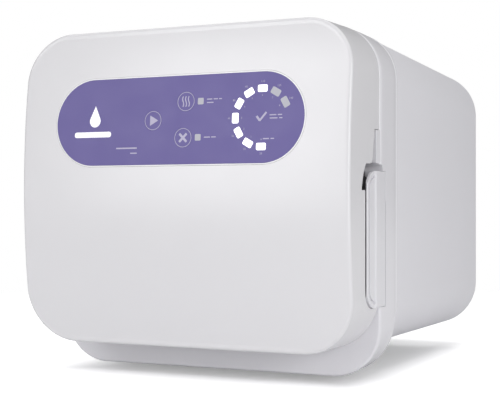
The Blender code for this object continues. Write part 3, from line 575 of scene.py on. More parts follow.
def turned(name, profile, x, z, steps=96, closed=False, axis="Y"):
    """Turns a (radius, position) profile about a line through (x, z) along Y, or up."""
    bm = bmesh.new()
    rows = []
    for radius, along in profile:
        row = []
        for step in range(1 if radius == 0 else steps):
            angle = math.tau * step / steps
            a, b = radius * math.cos(angle), radius * math.sin(angle)
            point = (x + a, along, z + b) if axis == "Y" else (x + a, z + b, along)
            row.append(bm.verts.new(place(*point)))
        rows.append(row)
    for first, second in zip(rows, rows[1:] + rows[:1] if closed else rows[1:]):
        for i in range(steps):
            j = (i + 1) % steps
            spots = [first[i % len(first)], first[j % len(first)]]
            spots += [second[j % len(second)], second[i % len(second)]]
            unique = list(dict.fromkeys(spots))
            if len(unique) > 2:
                bm.faces.new(unique)
    return to_object(name, bm)


def bore(name, x, z, radius, first, last, steps, axis="Y"):
    """A cylinder along an axis."""
    profile = [(0, first), (radius, first), (radius, last), (0, last)]
    return turned(name, profile, x, z, steps, axis=axis)


def arc(middle, radius, first, last, steps):
    angles = [math.radians(first + (last - first) * step / steps) for step in range(steps + 1)]
    return [(middle[0] + radius * math.cos(a), middle[1] + radius * math.sin(a)) for a in angles]


def refined(node, look, width, steps=2):
    """A copy of a CAD node with softened edges, which then stands for it."""
    bm = bmesh.new()
    bm.from_mesh(frame["nodes"][node].data)
    bmesh.ops.remove_doubles(bm, verts=bm.verts, dist=1e-6)
    bmesh.ops.dissolve_limit(bm, angle_limit=math.radians(0.5), verts=bm.verts, edges=bm.edges)
    obj = to_object(node + "_detailed", bm)
    piece(bevelled(obj, width, steps, 50), look, node)


def smooth_steps(stations, positions):
    """Values at positions from stations of (position, values...), by a monotone cubic."""
    xs = [station[0] for station in stations]
    result = []
    for column in zip(*[station[1:] for station in stations]):
        slopes = [(b - a) / (q - p) for a, b, p, q in zip(column, column[1:], xs, xs[1:])]
        tangents = [slopes[0]]
        for before, after in zip(slopes, slopes[1:]):
            flat = before * after <= 0
            tangents.append(0.0 if flat else 2 * before * after / (before + after))
        tangents.append(slopes[-1])
        values = []
        for position in positions:
            i = max(k for k in range(len(xs) - 1) if xs[k] <= position or k == 0)
            width = xs[i + 1] - xs[i]
            t = (position - xs[i]) / width
            h00, h10 = (1 + 2 * t) * (1 - t) ** 2, t * (1 - t) ** 2
            h01, h11 = t * t * (3 - 2 * t), t * t * (t - 1)
            value = h00 * column[i] + h10 * width * tangents[i]
            values.append(value + h01 * column[i + 1] + h11 * width * tangents[i + 1])
        result.append(values)
    return list(zip(*result))


# ---------------------------------------------------------------- door


def crown(z):
    """The depth of the door's front at a height."""
    return -DOOR_CROWN * (1 - ((z - MID_Z) / (MID_Z - DOOR_BOTTOM)) ** 2)


def flare(y):
    """How far the door's side stands out at a depth."""
    return DOOR_FLARE * (y + DOOR_CROWN - DOOR_EDGE) / (DOOR_DEPTH + DOOR_CROWN - DOOR_EDGE)


def crowned(outline, back, grow=0.0, middle=0.0):
    """A ring that follows the door's front, at a distance behind it."""
    return ring(outline, lambda z: crown(z) + back, grow, middle)


DOOR_OUTLINE = rounded_outline(
    HALF_DOOR, DOOR_BOTTOM, DOOR_TOP, DOOR_RADIUS_LOW, DOOR_RADIUS_TOP, 20, 28
)
PANEL_OUTLINE = rounded_outline(
    PANEL_HALF_WIDTH,
    PANEL_Z - PANEL_HALF_HEIGHT,
    PANEL_Z + PANEL_HALF_HEIGHT,
    PANEL_HALF_HEIGHT - 0.01,
    PANEL_HALF_HEIGHT - 0.01,
    40,
)
LINER_WELLS = [(-112, 60), (-112, 248), (102, 60), (102, 248)]


def pocket(name, polygon, floor, mouth):
    """A recess cutter from a (y, z) polygon, with a rounded mouth on the door's side."""
    rings = [[(floor, y, z) for y, z in polygon]]
    for out, depth in ((0.0, -0.45), (0.13, -0.14), (0.5, 0.08), (2.6, 1.2)):
        edge = offset(polygon, out * mouth) if out else polygon
        rings.append([(HALF_DOOR + flare(y) + depth, y, z) for y, z in edge])
    return capped(name, rings)


def door_cavity():
    """The room inside the door, less the walls of the lever's recess."""
    inner = POCKET_FLOOR - DOOR_WALL
    front = crowned(DOOR_OUTLINE, DOOR_WALL, -DOOR_WALL)
    return cut(
        loft("door_cavity", [front, ring(DOOR_OUTLINE, DOOR_DEPTH + 3, -DOOR_WALL)]),
        box("block_ledge", (138.0, 7.4, 56.7), (160, 70, 174.2)),
        box("block_deep", (inner, 16.3, 56.7), (160, 70, 174.2)),
        box("block_finger", (inner, 8.4, 148.0), (160, 70, 174.2)),
        box("block_tongue", (inner, 33.3, 168.2), (160, 70, 200.7)),
    )


def lever_recess():
    """The shallow recess in the door's side and the deep pocket in it."""
    top = [(75, 197.7), (39.4, 197.7), (34.6, 171.2), (21.0, 171.2), (14.6, 160.5)]
    shallow = [(75, 59.7), *top, (11.6, 147.0), (11.2, 74.0), (14.0, 65.0), (23.4, 59.7)]
    deep = [*top, (13.0, 151.2), (24.0, 151.2), *arc((38.4, 76.3), 14.4, 180, 270, 8), (75, 61.9)]
    return (
        pocket("pocket_shallow", softened(shallow, 5.0), RECESS_X, 1.0),
        pocket("pocket_deep", softened(deep, 0.8, 3), POCKET_FLOOR, 0.1),
    )


def front_edge_ring(turn):
    """A ring of the door's rounded front edge, at an angle round it."""

    def grow(y):
        return flare(y) * math.sin(turn) - DOOR_EDGE * (1 - math.sin(turn))

    return crowned(DOOR_OUTLINE, DOOR_EDGE * (1 - math.cos(turn)), grow)


def make_door():
    rings = [crowned(DOOR_OUTLINE, 0.0, -DOOR_EDGE - 2.0)]
    rings += [front_edge_ring(math.pi / 2 * step / 8) for step in range(9)]
    rear_edge = ((3.2, 0.05), (2.0, 0.15), (1.1, 0.35), (0.5, 0.62), (0.15, 0.95), (0.0, 1.4))
    for before, narrow in rear_edge:
        rings.append(ring(DOOR_OUTLINE, DOOR_DEPTH - before, DOOR_FLARE - narrow))
    door = loft("door_skin", rings)
    cut(door, door_cavity())
    cut(door, *lever_recess())
    window = [ring(PANEL_OUTLINE, 8.0, 0.5, PANEL_X)]
    for back, grow in ((0.5, 0.5), (0.15, 0.6), (-0.02, 0.85), (-1.0, 3.0)):
        window.append(crowned(PANEL_OUTLINE, back, grow, PANEL_X))
    cut(door, loft("door_window", window))
    piece(door, "shell", "door_shell", sharp=28)


def make_liner():
    """Inner door cover with a stepped rim, a round opening and screw wells."""
    edge = [(46.5, -3.5), (49.3, -3.5), (50.1, -3.8), (50.5, -4.8), (50.5, -11.0)]
    edge += [(49.9, -12.0), (49.9, -16.0)]
    liner = loft("door_liner_skin", [ring(DOOR_OUTLINE, y, grow) for y, grow in edge])
    hole = [(0, 40), (96.5, 40), (96.5, 49.2), (97.6, 50.3), (97.6, 60), (0, 60)]
    well = [(0, 48.4), (3.6, 48.4), (4.6, 52), (0, 52)]
    cut(
        liner,
        box("notch", (118.5, 40, 56.2), (160, 60, 201.2)),
        turned("hole", hole, 0, MID_Z),
        *[turned("well", well, x, z, 32) for x, z in LINER_WELLS],
    )
    piece(liner, "liner", "door_liner")
    for index, (x, z) in enumerate(LINER_WELLS):
        screw(f"liner_screw_{index}", x, z, 48.3, 3.0, 1.4, body="door")


def screw(name, x, z, seat, radius, height, *replaced, body=None):
    """A cross-recess screw head whose seat is at a depth and which faces the back."""
    profile = [(0, 0), (1, 0), (1, 0.35), (0.86, 0.75), (0.5, 1), (0, 1.08)]
    head = turned(name, [(radius * out, seat + height * up) for out, up in profile], x, z, 40)
    arm, wide = radius * 0.62, radius * 0.13
    top = seat + height * 0.35
    cut(
        head,
        box("cross", (x - arm, top, z - wide), (x + arm, seat + 5, z + wide)),
        box("cross_2", (x - wide, top, z - arm), (x + wide, seat + 5, z + arm)),
    )
    piece(head, "stainless", *replaced, body=body, slot="stainless")


def make_plate():
    """Pressed pressure plate with a dished middle, a stiffening ring and a seal groove."""
    groove, rear = 48.1, 51.0
    profile = [(0, 45.2), (93.2, 45.2), (94, 46.0), (94, 50.4), (93.4, rear), (90.3, rear)]
    profile += [(90.1, 50.8), (90.1, groove), (81.9, groove), (81.9, 50.8), (81.7, rear)]
    profile += [(71, rear), (68.5, 50.6), (64, 48.9), (61, 48.5), (40, 48.5), (38.4, 48.8)]
    profile += [(36.6, 49.8), (34, 50.3), (31.4, 49.8), (29.6, 48.8), (28, 48.5), (9, 48.5)]
    profile += [(8.2, 48.9), (7.6, 50.2), (6.6, 50.7), (0, 50.8)]
    plate = turned("pressure_plate_skin", profile, 0, MID_Z, 128)
    piece(plate, "turned_steel", "pressure_plate")


def make_seal():
    """Silicone ring with two rounded lips."""
    lips = [(82.2, 48.3), (89.8, 48.3), (89.8, 50.9), (89.2, 51.6), (88.0, 52.0), (86.9, 51.7)]
    lips += [(86.3, 51.0), (85.7, 51.0), (85.1, 51.7), (84.0, 52.0), (82.8, 51.6), (82.2, 50.9)]
    seal = turned("door_seal_skin", lips, 0, MID_Z, 128, closed=True)
    piece(seal, "silicone", "door_seal")


# ---------------------------------------------------------------- control panel


def on_crown(x, z, proud):
    return place(x, crown(z) - proud, z)


def slab(name, outline, middle, edge=0.12):
    """A part of the panel, which follows the door's front and has a softened front edge."""
    rings = []
    for back, narrow in ((0.0, 3.0), (0.0, 1.0), (0.3, 0.3), (1.0, 0.0)):
        rings.append(crowned(outline, edge * back - PANEL_PROUD, -edge * narrow, middle))
    return loft(name, [*rings, crowned(outline, PANEL_THICK, 0.0, middle)])


def disc_outline(radius, z):
    """A circle as an outline with normals, from its lowest point up its right side."""
    right = []
    for step in range(33):
        angle = math.pi * (step / 32 - 0.5)
        c, s = math.cos(angle), math.sin(angle)
        right.append((max(radius * c, 0.001), z + radius * s, c, s))
    return right + [(-x, height, -c, s) for x, height, c, s in reversed(right)]


def drop_outline(x, z, radius, tall):
    """A water drop: a circle with a point above it."""
    tangent = math.degrees(math.acos(radius / tall))
    return [(x, z + tall), *arc((x, z), radius, 90 + tangent, 450 - tangent, 28)]


class Inlay:
    """Thin flat shapes that follow the door's front, gathered into one mesh."""

    def __init__(self, proud):
        self.bm = bmesh.new()
        self.proud = proud

    def shape(self, points):
        """A polygon of (x, z) points."""
        front = [self.bm.verts.new(on_crown(x, z, self.proud)) for x, z in points]
        back = [self.bm.verts.new(on_crown(x, z, self.proud - INK_THICK)) for x, z in points]
        skin(self.bm, [front, back])
        self.bm.faces.new(front)
        self.bm.faces.new(back[::-1])

    def bar(self, x, z, length, height, radius, turn=0):
        """A rounded bar about a point, turned by an angle in degrees."""
        half, tall = length / 2, height / 2
        ends = softened([(-half, -tall), (half, -tall), (half, tall), (-half, tall)], radius, 4)
        c, s = math.cos(math.radians(turn)), math.sin(math.radians(turn))
        self.shape([(x + a * c - b * s, z + a * s + b * c) for a, b in ends])

    def hoop(self, x, z, radius, width):
        inner, outer = (arc((x, z), radius + side * width / 2, 0, 360, 64) for side in (-1, 1))
        for points in zip(inner, outer, outer[1:], inner[1:]):
            self.shape(points)

    def stroke(self, points, width):
        """A line of some width through points, with flat ends."""
        left, right = [], []
        for i, here in enumerate(points):
            before, after = points[max(i - 1, 0)], points[min(i + 1, len(points) - 1)]
            along = (Vector(after) - Vector(before)).normalized()
            side = Vector((-along.y, along.x)) * width / 2
            left.append(tuple(Vector(here) + side))
            right.append(tuple(Vector(here) - side))
        for points in zip(right, right[1:], left[1:], left):
            self.shape(points)

    def figures(self, text, x, z, size):
        """Numerals from the built-in font, centred on a point."""
        curve = bpy.data.curves.new("figures", "FONT")
        configured(curve, body=text, size=size, resolution_u=2, align_x="CENTER", align_y="CENTER")
        helper = linked("figures", curve)
        mesh = evaluated_mesh(helper)
        for polygon in mesh.polygons:
            spots = [mesh.vertices[i].co for i in polygon.vertices]
            spots = [on_crown(x + spot.x, z + spot.y, self.proud) for spot in spots]
            self.bm.faces.new([self.bm.verts.new(spot) for spot in spots])
        bpy.data.objects.remove(helper, do_unlink=True)
        bpy.data.meshes.remove(mesh)

    def done(self, name, look, *replaced, body="door", slot="violet_overlay"):
        piece(to_object(name, self.bm), look, *replaced, body=body, slot=slot, sharp=30)


def dial_spot(turn, radius=DIAL_RADIUS):
    """A place on the gauge, at an angle anticlockwise from the right."""
    angle = math.radians(turn)
    return DIAL_X + radius * math.cos(angle), DIAL_Z + radius * math.sin(angle)


def segment(inlay, turn):
    """One window of the ring gauge."""
    inlay.bar(*dial_spot(turn), 7.9, 5.4, 1.2, turn + 90)


def mark_start(mark, x, z):
    mark.shape(softened([(x - 2.6, z - 4.1), (x + 4.6, z), (x - 2.6, z + 4.1)], 0.6, 3))


def mark_dry(mark, x, z):
    for shift in (-2.5, 0.0, 2.5):
        turns = [math.tau * step / 12 for step in range(13)]
        wave = [(x + shift + 0.55 * math.sin(t), z - 4.0 + 8.0 * t / math.tau) for t in turns]
        mark.stroke(wave, 0.85)


def mark_cancel(mark, x, z):
    for turn in (45, -45):
        mark.bar(x, z, 9.0, 1.9, 0.5, turn)


def make_panel():
    edge = ((1.5, 0.42), (-0.02, 0.42), (-0.14, 0.3), (-0.19, -0.05), (-0.19, -0.45), (1.5, -0.5))
    rings = [crowned(PANEL_OUTLINE, back, grow, PANEL_X) for back, grow in edge]
    rim = loft("panel_rim", rings, hollow=True)
    # The rim's lighter white is a painted highlight round the panel's edge.
    piece(rim, "rim", body="door", slot="white_plastic", sharp=60)
    narrow = [(x - 0.55 * nx, z - 0.55 * nz, nx, nz) for x, z, nx, nz in PANEL_OUTLINE]
    panel = slab("control_panel_overlay", narrow, PANEL_X)
    holes = []
    for name, (x, z) in KEYS.items():
        outline = disc_outline(KEY_RADIUS + 0.08, z)
        holes.append(loft(name + "_hole", [ring(outline, -30, 0, x), ring(outline, 10, 0, x)]))
    cut(panel, *holes)
    piece(panel, "overlay", "control_panel", sharp=40)


def make_keys():
    for name, (x, z) in KEYS.items():
        key = slab(name + "_cap", disc_outline(KEY_RADIUS, z), x, edge=0.05)
        piece(key, "overlay", name, sharp=40)
    draw = {"key_start": mark_start, "key_dry": mark_dry, "key_cancel": mark_cancel}
    for name, (x, z) in KEYS.items():
        mark = Inlay(PANEL_PROUD + 0.05)
        mark.hoop(x, z, 7.15, 0.42)
        draw[name](mark, x, z)
        mark.done(name + "_mark", "ink", body=name)


def make_panel_print():
    lift = PANEL_PROUD + 0.06
    lit = Inlay(lift + 0.03)
    for turn in range(270, 89, -30):
        segment(lit, turn)
    lit.done("gauge_windows_lit", "lit", "indicator_ring", slot="lit_white")
    unlit = Inlay(lift)
    for turn in (60, 30):
        segment(unlit, turn)
    for x, z in ((20.6, 219.4), (19.1, 191.7)):
        unlit.bar(x, z, 5.0, 5.0, 0.9)
    unlit.done("gauge_windows_unlit", "unlit", slot="lit_white")
    ink = Inlay(lift)
    ink.stroke([(68.2, 206.4), (70.6, 203.4)], 1.7)
    ink.stroke([(70.0, 203.4), (70.9, 203.0), (76.2, 209.2)], 1.5)
    words = [(28.2, 220.7, 4.6), (33.4, 220.7, 3.6), (37.4, 220.7, 2.4), (28.8, 218.1, 5.6)]
    words += [(27.0, 191.7, 5.2), (32.6, 191.7, 4.0), (81.6, 207.0, 5.6), (87.2, 207.0, 3.6)]
    words += [(82.2, 204.6, 6.4), (88.0, 204.6, 2.6), (76.4, 189.4, 5.0), (81.6, 189.4, 3.0)]
    for x, z, length in words:
        ink.bar(x, z, length, 0.8, 0.3)
    ink.bar(-44.0, 184.6, 19.0, 1.1, 0.5)
    ink.bar(-37.5, 180.6, 6.0, 0.9, 0.4)
    for index in range(9):
        turn = 270 - 30 * index
        ink.figures(str(20 + 15 * index), *dial_spot(turn, DIAL_RADIUS + 5.2), 2.2)
        ink.figures(str(index), *dial_spot(turn, DIAL_RADIUS - 5.2), 2.0)
    ink.done("panel_print", "ink")
    # The emblem's white ink glows faintly: painted light.
    white = Inlay(lift)
    white.shape(drop_outline(-73.8, 206.8, 5.0, 12.0))
    white.bar(-75.6, 195.9, 34.0, 4.4, 2.0)
    white.done("panel_emblem", "ink_white_painted_glow")


# ---------------------------------------------------------------- lever


def lever_side(front, low, high, radius, rear):
    """The lever's outline from the side, with its two front corners rounded."""
    points = arc((front + radius, low + radius), radius, 180, 270, 16)
    points += [(rear, low), (rear, high)]
    return points + arc((front + radius, high - radius), radius, 90, 180, 16)


def make_lever():
    """Lever with a thin front lip, a groove behind the lip and a raised rear pad."""
    low, high = LEVER_LOW, LEVER_HIGH
    outline = [(143.95, 63.0), (143.8, 63.5), (143.35, 64.0)]
    outline += arc(LEVER_PIVOT, 6.6, 52, 62, 2) + arc(LEVER_PIVOT, 6.0, 75, 200, 14)
    outline += [(131.0, 50.0), (131.0, 38.0), (140.9, 30.0)]
    outline += arc((142.2, 26.0), 0.9, 190, 360, 10)
    outline += [(143.05, 40.6), (143.15, 41.1), (143.95, 41.9), (144.25, 42.6)]
    lever = prism("lever_skin", outline, "Z", low, high)
    side = lever_side(23.4, low, high, 17.0, 68.0)
    combined(lever, "INTERSECT", [prism("lever_side", side, "X", 120, 160)])
    hole = [(10.0, 142.0), (28.5, 142.0), *arc((46.5, 142.0), 18.0, 180, 90, 12), (52.0, 160.0)]
    hole += [(52.0, 176.0), (10.0, 176.0)]
    cut(lever, prism("finger_hole", hole, "X", 120, 141.3))
    outer = lever_side(27.3, low + 3.2, high - 3.2, 13.5, 41.0)
    inner = lever_side(29.3, low + 5.2, high - 5.2, 11.5, 60.0)
    groove = prism("groove_outer", outer, "X", 141.6, 150)
    cut(groove, prism("groove_inner", inner, "X", 141, 151))
    border = [(38.0, low + 1.2), *arc((53.4, low + 9.2), 8.0, 270, 360, 14), (61.4, 142.6)]
    border += [(70.0, 142.6), (70.0, low - 3), (38.0, low - 3)]
    cut(
        lever,
        groove,
        prism("pad_border", border[::-1], "X", 143.6, 150),
        bore("lever_bore", *LEVER_PIVOT, 1.9, 50, 180, 32, "Z"),
    )
    piece(bevelled(lever, 0.4), "casing", "lever", sharp=35)


def make_lever_lining():
    """A dark sheet in the lever's finger hole and the hollow behind its lip: painted shade where these
    lie in shadow.
    """
    low, high = LEVER_LOW + 2, LEVER_HIGH - 1.5
    hollow = [(130.7, 50.0), (130.7, 37.85), (140.6, 29.85), (140.6, 27.2), (140.9, 27.2)]
    hollow += [(140.9, 30.0), (131.0, 38.0), (131.0, 50.0)]
    painted_shade_sheet = prism("lever_painted_shade_sheet", hollow[::-1], "Z", 147.0, high)
    trim = lever_side(25.4, low, high, 15.0, 68.0)
    combined(painted_shade_sheet, "INTERSECT", [prism("painted_shade_sheet_side", trim, "X", 120, 160)])
    face = arc((46.5, 142.0), 18.0, 180, 90, 12) + arc((46.5, 142.0), 18.3, 90, 180, 12)
    join(painted_shade_sheet, prism("painted_shade_sheet_face", face, "X", 131.2, 141.2))
    piece(painted_shade_sheet, "finger_hole_shade", body="lever", slot="rubber")


# ---------------------------------------------------------------- casing

# The frame's depth, half width, bottom, top and corner radii, low and high
FRAME_STATIONS = [
    (51.6, 143.7, 6.3, 279.5, 40.0, 40.0),
    (58.0, 143.9, 6.3, 279.5, 41.0, 40.0),
    (70.0, 143.9, 6.3, 279.2, 42.5, 39.5),
    (82.0, 143.9, 6.3, 278.5, 43.5, 39.0),
    (92.2, 143.3, 6.3, 277.8, 43.5, 38.5),
]
FRAME_REAR = FRAME_STATIONS[-1][0]
# The seam between the frame and the cover, which steps forward near the bottom, as (y, z)
JOG = [(0.0, 66.0), (-0.3, 61.5), (-1.6, 58.2), (-5.2, 54.0), (-7.0, 51.3), (-7.7, 47.5), (-7.7, -10.0)]


def seam_step(name, seam, *far):
    """A cutter whose one side is the seam, and whose other corners are given."""
    outline = [(seam + y, z) for y, z in reversed(JOG)] + [(seam, 70.0), *far]
    return prism(name, outline, "X", -170, 170)


def frame_loft(name, stations, growth):
    """Skins the frame's outline, with growth giving each depth how far it is moved out."""
    outlines = [rounded_outline(*values, 24) for values in smooth_steps(stations, list(growth))]
    return loft(name, [ring(line, y, growth[y]) for y, line in zip(growth, outlines)])


def make_frame():
    growth = {51.6: -2.0, 51.75: -1.4, 52.1: -0.9, 52.7: -0.45, 53.6: -0.16, 54.8: -0.03}
    growth.update(dict.fromkeys((56.5, 60, 64, 68, 72, 76, 80, 84, 87, 88.8), 0.0))
    growth.update({89.3: 0.1, 89.9: 0.42, 90.4: 0.58, 91.2: 0.6, 91.8: 0.4, 92.2: 0.0})
    shell = frame_loft("front_frame_skin", FRAME_STATIONS, growth)
    stations = [*FRAME_STATIONS[:-1], (97.2, *FRAME_STATIONS[-1][1:])]
    depths = (55.0, 58, 62, 66, 70, 74, 78, 82, 86, 90, 97.2)
    cavity = frame_loft("frame_cavity", stations, dict.fromkeys(depths, -3.0))
    cut(cavity, box("pocket_block", (119, 45, 56.7), (160, 69.6, 174.2)))
    mouth = [(0, 40), (103.0, 40), (103.0, 51.9), (102.2, 52.7), (101.0, 53.2), (101.0, 62), (0, 62)]
    groove = [(106.0, 40), (110.0, 40), (110.0, 51.9), (109.4, 52.5), (106.6, 52.5), (106.0, 51.9)]
    outline = [(POCKET_FLOOR, 40.0), (160.0, 40.0), (160.0, 64.5), (143.95, 64.3)]
    outline += arc(LEVER_PIVOT, LEVER_SWEEP, 38, 90, 14)
    outline += [(POCKET_FLOOR, LEVER_PIVOT[1] + LEVER_SWEEP)]
    cut(
        shell,
        cavity,
        turned("mouth", mouth, 0, MID_Z, 128),
        turned("groove", groove, 0, MID_Z, 128, closed=True),
        prism("frame_pocket", outline, "Z", 61.9, 171.2),
        seam_step("chin_step", FRAME_REAR, (120.0, 70.0), (120.0, -10.0)),
    )
    tongue = bevelled(box("tongue", (126.0, 44.2, 172.0), (143.2, 53.6, 197.4)), 0.6)
    edge = [(57.2, 166.0), (68.1, 166.0), (68.1, 172.2), (54.0, 172.2), (54.0, 171.0), (55.6, 170.2)]
    edge += [(56.6, 168.8), (57.0, 167.4)]
    join(shell, tongue, prism("lug", edge, "X", 121.0, 143.86))
    cut(shell, bore("bore", *LEVER_PIVOT, 1.9, 56.8, 178.5, 32, "Z"))
    piece(shell, "casing", "front_frame", sharp=30)


def make_cover():
    front = rounded_outline(143.2, 25.3, 277.8, 39.4, 38.5, 26)
    rear = rounded_outline(141.0, 22.2, 269.6, 42.5, 42.5, 26)
    rim = 2.0
    rings = [ring(front, COVER_FRONT)]
    for step in range(1, 8):
        t = step / 8
        middle = [tuple(a + (b - a) * t for a, b in zip(p, q)) for p, q in zip(front, rear)]
        rings.append(ring(middle, COVER_FRONT + (COVER_REAR - rim - COVER_FRONT) * t))
    for step in range(6):
        turn = math.pi / 2 * step / 5
        back, narrow = rim * (1 - math.sin(turn)), rim * 0.6 * (1 - math.cos(turn))
        rings.append(ring(rear, COVER_REAR - back, -narrow))
    rings += [ring(rear, COVER_REAR - 0.2, -1.7), ring(rear, COVER_REAR - 0.9, -rim)]
    cover = loft("rear_cover_skin", [*rings, ring(front, COVER_FRONT, -rim)], hollow=True)
    seam = FRAME_REAR + 0.3
    step = seam_step("cover_step", seam, (seam, 300.0), (60.0, 300.0), (60.0, -10.0))
    cut(cover, step, box("cover_slot", (-100, 60, -10), (100, 360, 40)))
    piece(cover, "paint", "rear_cover", sharp=30)


def make_rear_panel():
    outline = rounded_outline(138.7, 24.8, 267.7, 40.0, 40.0, 22)
    edge = ((327.0, 0.0), (328.4, 0.0), (328.85, -0.2), (PANEL_FACE, -0.6))
    panel = loft("rear_panel_skin", [ring(outline, y, grow) for y, grow in edge])
    holes = []
    for row in range(6):
        z = 130.0 + 9.0 * row
        vent = softened([(-45, z), (45, z), (45, z + 4), (-45, z + 4)], 1.9, 6)
        stations = (PANEL_CUT[0], 328.6, (PANEL_FACE, 0.25), (PANEL_FACE + 0.6, 0.9))
        holes.append(prism(f"vent_{row}", vent, "Y", *stations))
    for (x, z), wide, tall in ((INLET, 14, 10.3), (ROCKER, 11, 10.8)):
        near, far = PANEL_CUT
        holes.append(box("mains_hole", (x - wide, near, z - tall), (x + wide, far, z + tall)))
    rounds = [(VALVE, 7.3), (DRAIN, 5.3), *[(spot, 6.3) for spot in FUSES.values()]]
    rounds += [(spot, 1.9) for spot in SCREWS.values()]
    for spot, radius in rounds:
        holes.append(bore("round_hole", *spot, radius, *PANEL_CUT, 40))
    cut(panel, *holes)
    piece(panel, "paint", "rear_panel", sharp=30)
    for name, (x, z) in SCREWS.items():
        screw(name + "_head", x, z, PANEL_FACE + 0.3, 3.6, 2.0, name)


def hexagon(x, z, across, first, last):
    """A nut's prism along Y, with flats a given distance apart."""
    points = arc((x, z), across / math.sqrt(3), 30, 330, 5)
    return bevelled(prism("hexagon", points[::-1], "Y", first, last), 0.5, 2, 30)


def make_safety_valve():
    x, z = VALVE
    body = [(0, 322.5), (6.6, 322.5), (7, 323), (7, 329.3), (9.7, 329.3), (10, 329.6), (10, 330.6)]
    body += [(9.6, 331), (6.6, 331), (6.6, 334.6), (6.0, 335.4), (6.0, 336.4), (5.2, 337), (0, 337)]
    valve = turned("safety_valve_body", body, x, z, 64)
    join(valve, hexagon(x, z, 15.4, 331.2, 334.4))
    piece(valve, "brass", "safety_valve")
    stem = [(0, 337.4), (2, 337.4), (2, 343.6), (1.6, 344), (0, 344)]
    pull = turned("valve_stem", stem, x, z, 32)
    wire = arc((7.1, 342.0), 0.8, 0, 337.5, 15)
    join(pull, turned("valve_loop", wire, x, z - 8.4, 64, closed=True))
    piece(pull, "stainless", "valve_pull_ring")


def make_drain_outlet():
    """Hose nipple with three barbs."""
    profile = [(3.2, 322.5), (4.9, 322.5), (4.9, 329.3), (7.7, 329.3), (8, 329.6), (8, 331.6)]
    profile += [(7.6, 332), (4.3, 332)]
    for start in (334.0, 337.2, 340.4):
        profile += [(4.3, start), (5.15, start + 0.3), (4.3, start + 2.6)]
    profile += [(4.2, 344.3), (3.9, 344.5), (3.2, 344.5)]
    piece(turned("drain_nipple", profile, *DRAIN, 56, closed=True), "brass", "drain_outlet")


def make_fuse_holders():
    """Fluted caps with a coin slot."""
    profile = [(0, 300), (5.9, 300), (5.9, 329.3), (7.8, 329.3), (8, 329.6), (8, 331.2)]
    profile += [(7.2, 331.6), (7.2, 336.9), (6.6, 337.8), (5.8, 338), (0, 338)]
    for name, (x, z) in FUSES.items():
        cutters = [box("fuse_slot", (x - 5, 336.4, z - 0.6), (x + 5, 340, z + 0.6))]
        for spot in arc((x, z), 7.45, 0, 340, 17):
            cutters.append(bore("flute", *spot, 0.55, 332.2, 340, 10))
        cap = cut(turned(name + "_cap", profile, x, z, 72), *cutters)
        piece(cap, "black", name)


def make_mains():
    for node in ("mains_inlet", "switch_housing"):
        refined(node, "black", 0.5)
    x, z = ROCKER
    tilt = Matrix.Rotation(math.radians(8.0), 2)

    def face(height):
        """The rocker's hollow face, before it is tilted."""
        return 1.6 + 1.8 * (height / 7.4) ** 2

    def tilted(depth, height):
        return Vector((PANEL_FACE, z)) + tilt @ Vector((depth, height))

    level = [(-5.0, 0.0), (-2.5, -6.2), (3.4, -7.4)]
    level += [(face(0.74 * step), 0.74 * step) for step in range(-9, 10)]
    level += [(3.4, 7.4), (-2.5, 6.2)]
    rocker = prism("rocker_cap", [tuple(tilted(*point)) for point in level], "X", x - 7.1, x + 7.1)
    piece(bevelled(rocker, 0.4), "black", "mains_rocker")
    inner, outer = (arc((0.0, -4.3), radius, 0, 360, 24) for radius in (1.25, 1.85))
    shapes = [[(-0.35, 2.6), (0.35, 2.6), (0.35, 6.0), (-0.35, 6.0)]]
    shapes += zip(inner, outer, outer[1:], inner[1:])
    marks = bmesh.new()
    for shape in shapes:
        spots = [place(x + across, *tilted(face(up) + 0.06, up)) for across, up in shape]
        marks.faces.new([marks.verts.new(spot) for spot in spots])
    # The rocker's white marks glow faintly: painted light.
    piece(to_object("rocker_marks", marks), "ink_white_painted_glow", body="rocker", slot="black_plastic")


def make_feet():
    """Ribbed rubber feet that widen upwards."""
    profile = [(0, 0), (8.6, 0), (9.7, 0.4), (10.0, 1.2)]
    for rib in range(5):
        base = 4.0 + 4.6 * rib
        wide = 10.0 + 3.0 * base / FOOT_HEIGHT
        profile += [(wide, base), (wide - 0.5, base + 0.5), (wide - 0.5, base + 1.1)]
        profile += [(wide + 0.1, base + 1.6)]
    profile += [(12.9, FOOT_HEIGHT - 0.6), (12.6, FOOT_HEIGHT), (0, FOOT_HEIGHT)]
    for node, spot in FEET.items():
        piece(turned(node + "_ribbed", profile, *spot, 64, axis="Z"), "rubber", node)


# ---------------------------------------------------------------- chamber


def make_chamber():
    """Drawn vessel with a domed end, and with a flange round its mouth."""
    radius, outer, front, straight, dome = 78.0, 81.5, 52.5, 284.0, 16.0
    wall = outer - radius
    inner_side = [(radius, front + 0.8), (radius, straight)]
    outer_side = []
    for step in range(1, 14):
        c, s = math.cos(math.pi / 2 * step / 14), math.sin(math.pi / 2 * step / 14)
        inner_side.append((radius * c, straight + dome * s))
        outer_side.append((outer * c, straight + (dome + wall) * s))
    profile = [(0.0, straight + dome), *inner_side[::-1]]
    profile += [(radius + 0.5, front + 0.2), (radius + 1.2, front)]
    profile += [(97.2, front), (98.0, front + 0.7), (98.0, front + 7.4), (97.4, front + 8.0)]
    profile += [(outer, front + 8.0), (outer, straight), *outer_side, (0.0, straight + dome + wall)]
    piece(turned("chamber_vessel", profile, 0, MID_Z, 128), "chamber", "chamber", sharp=40)


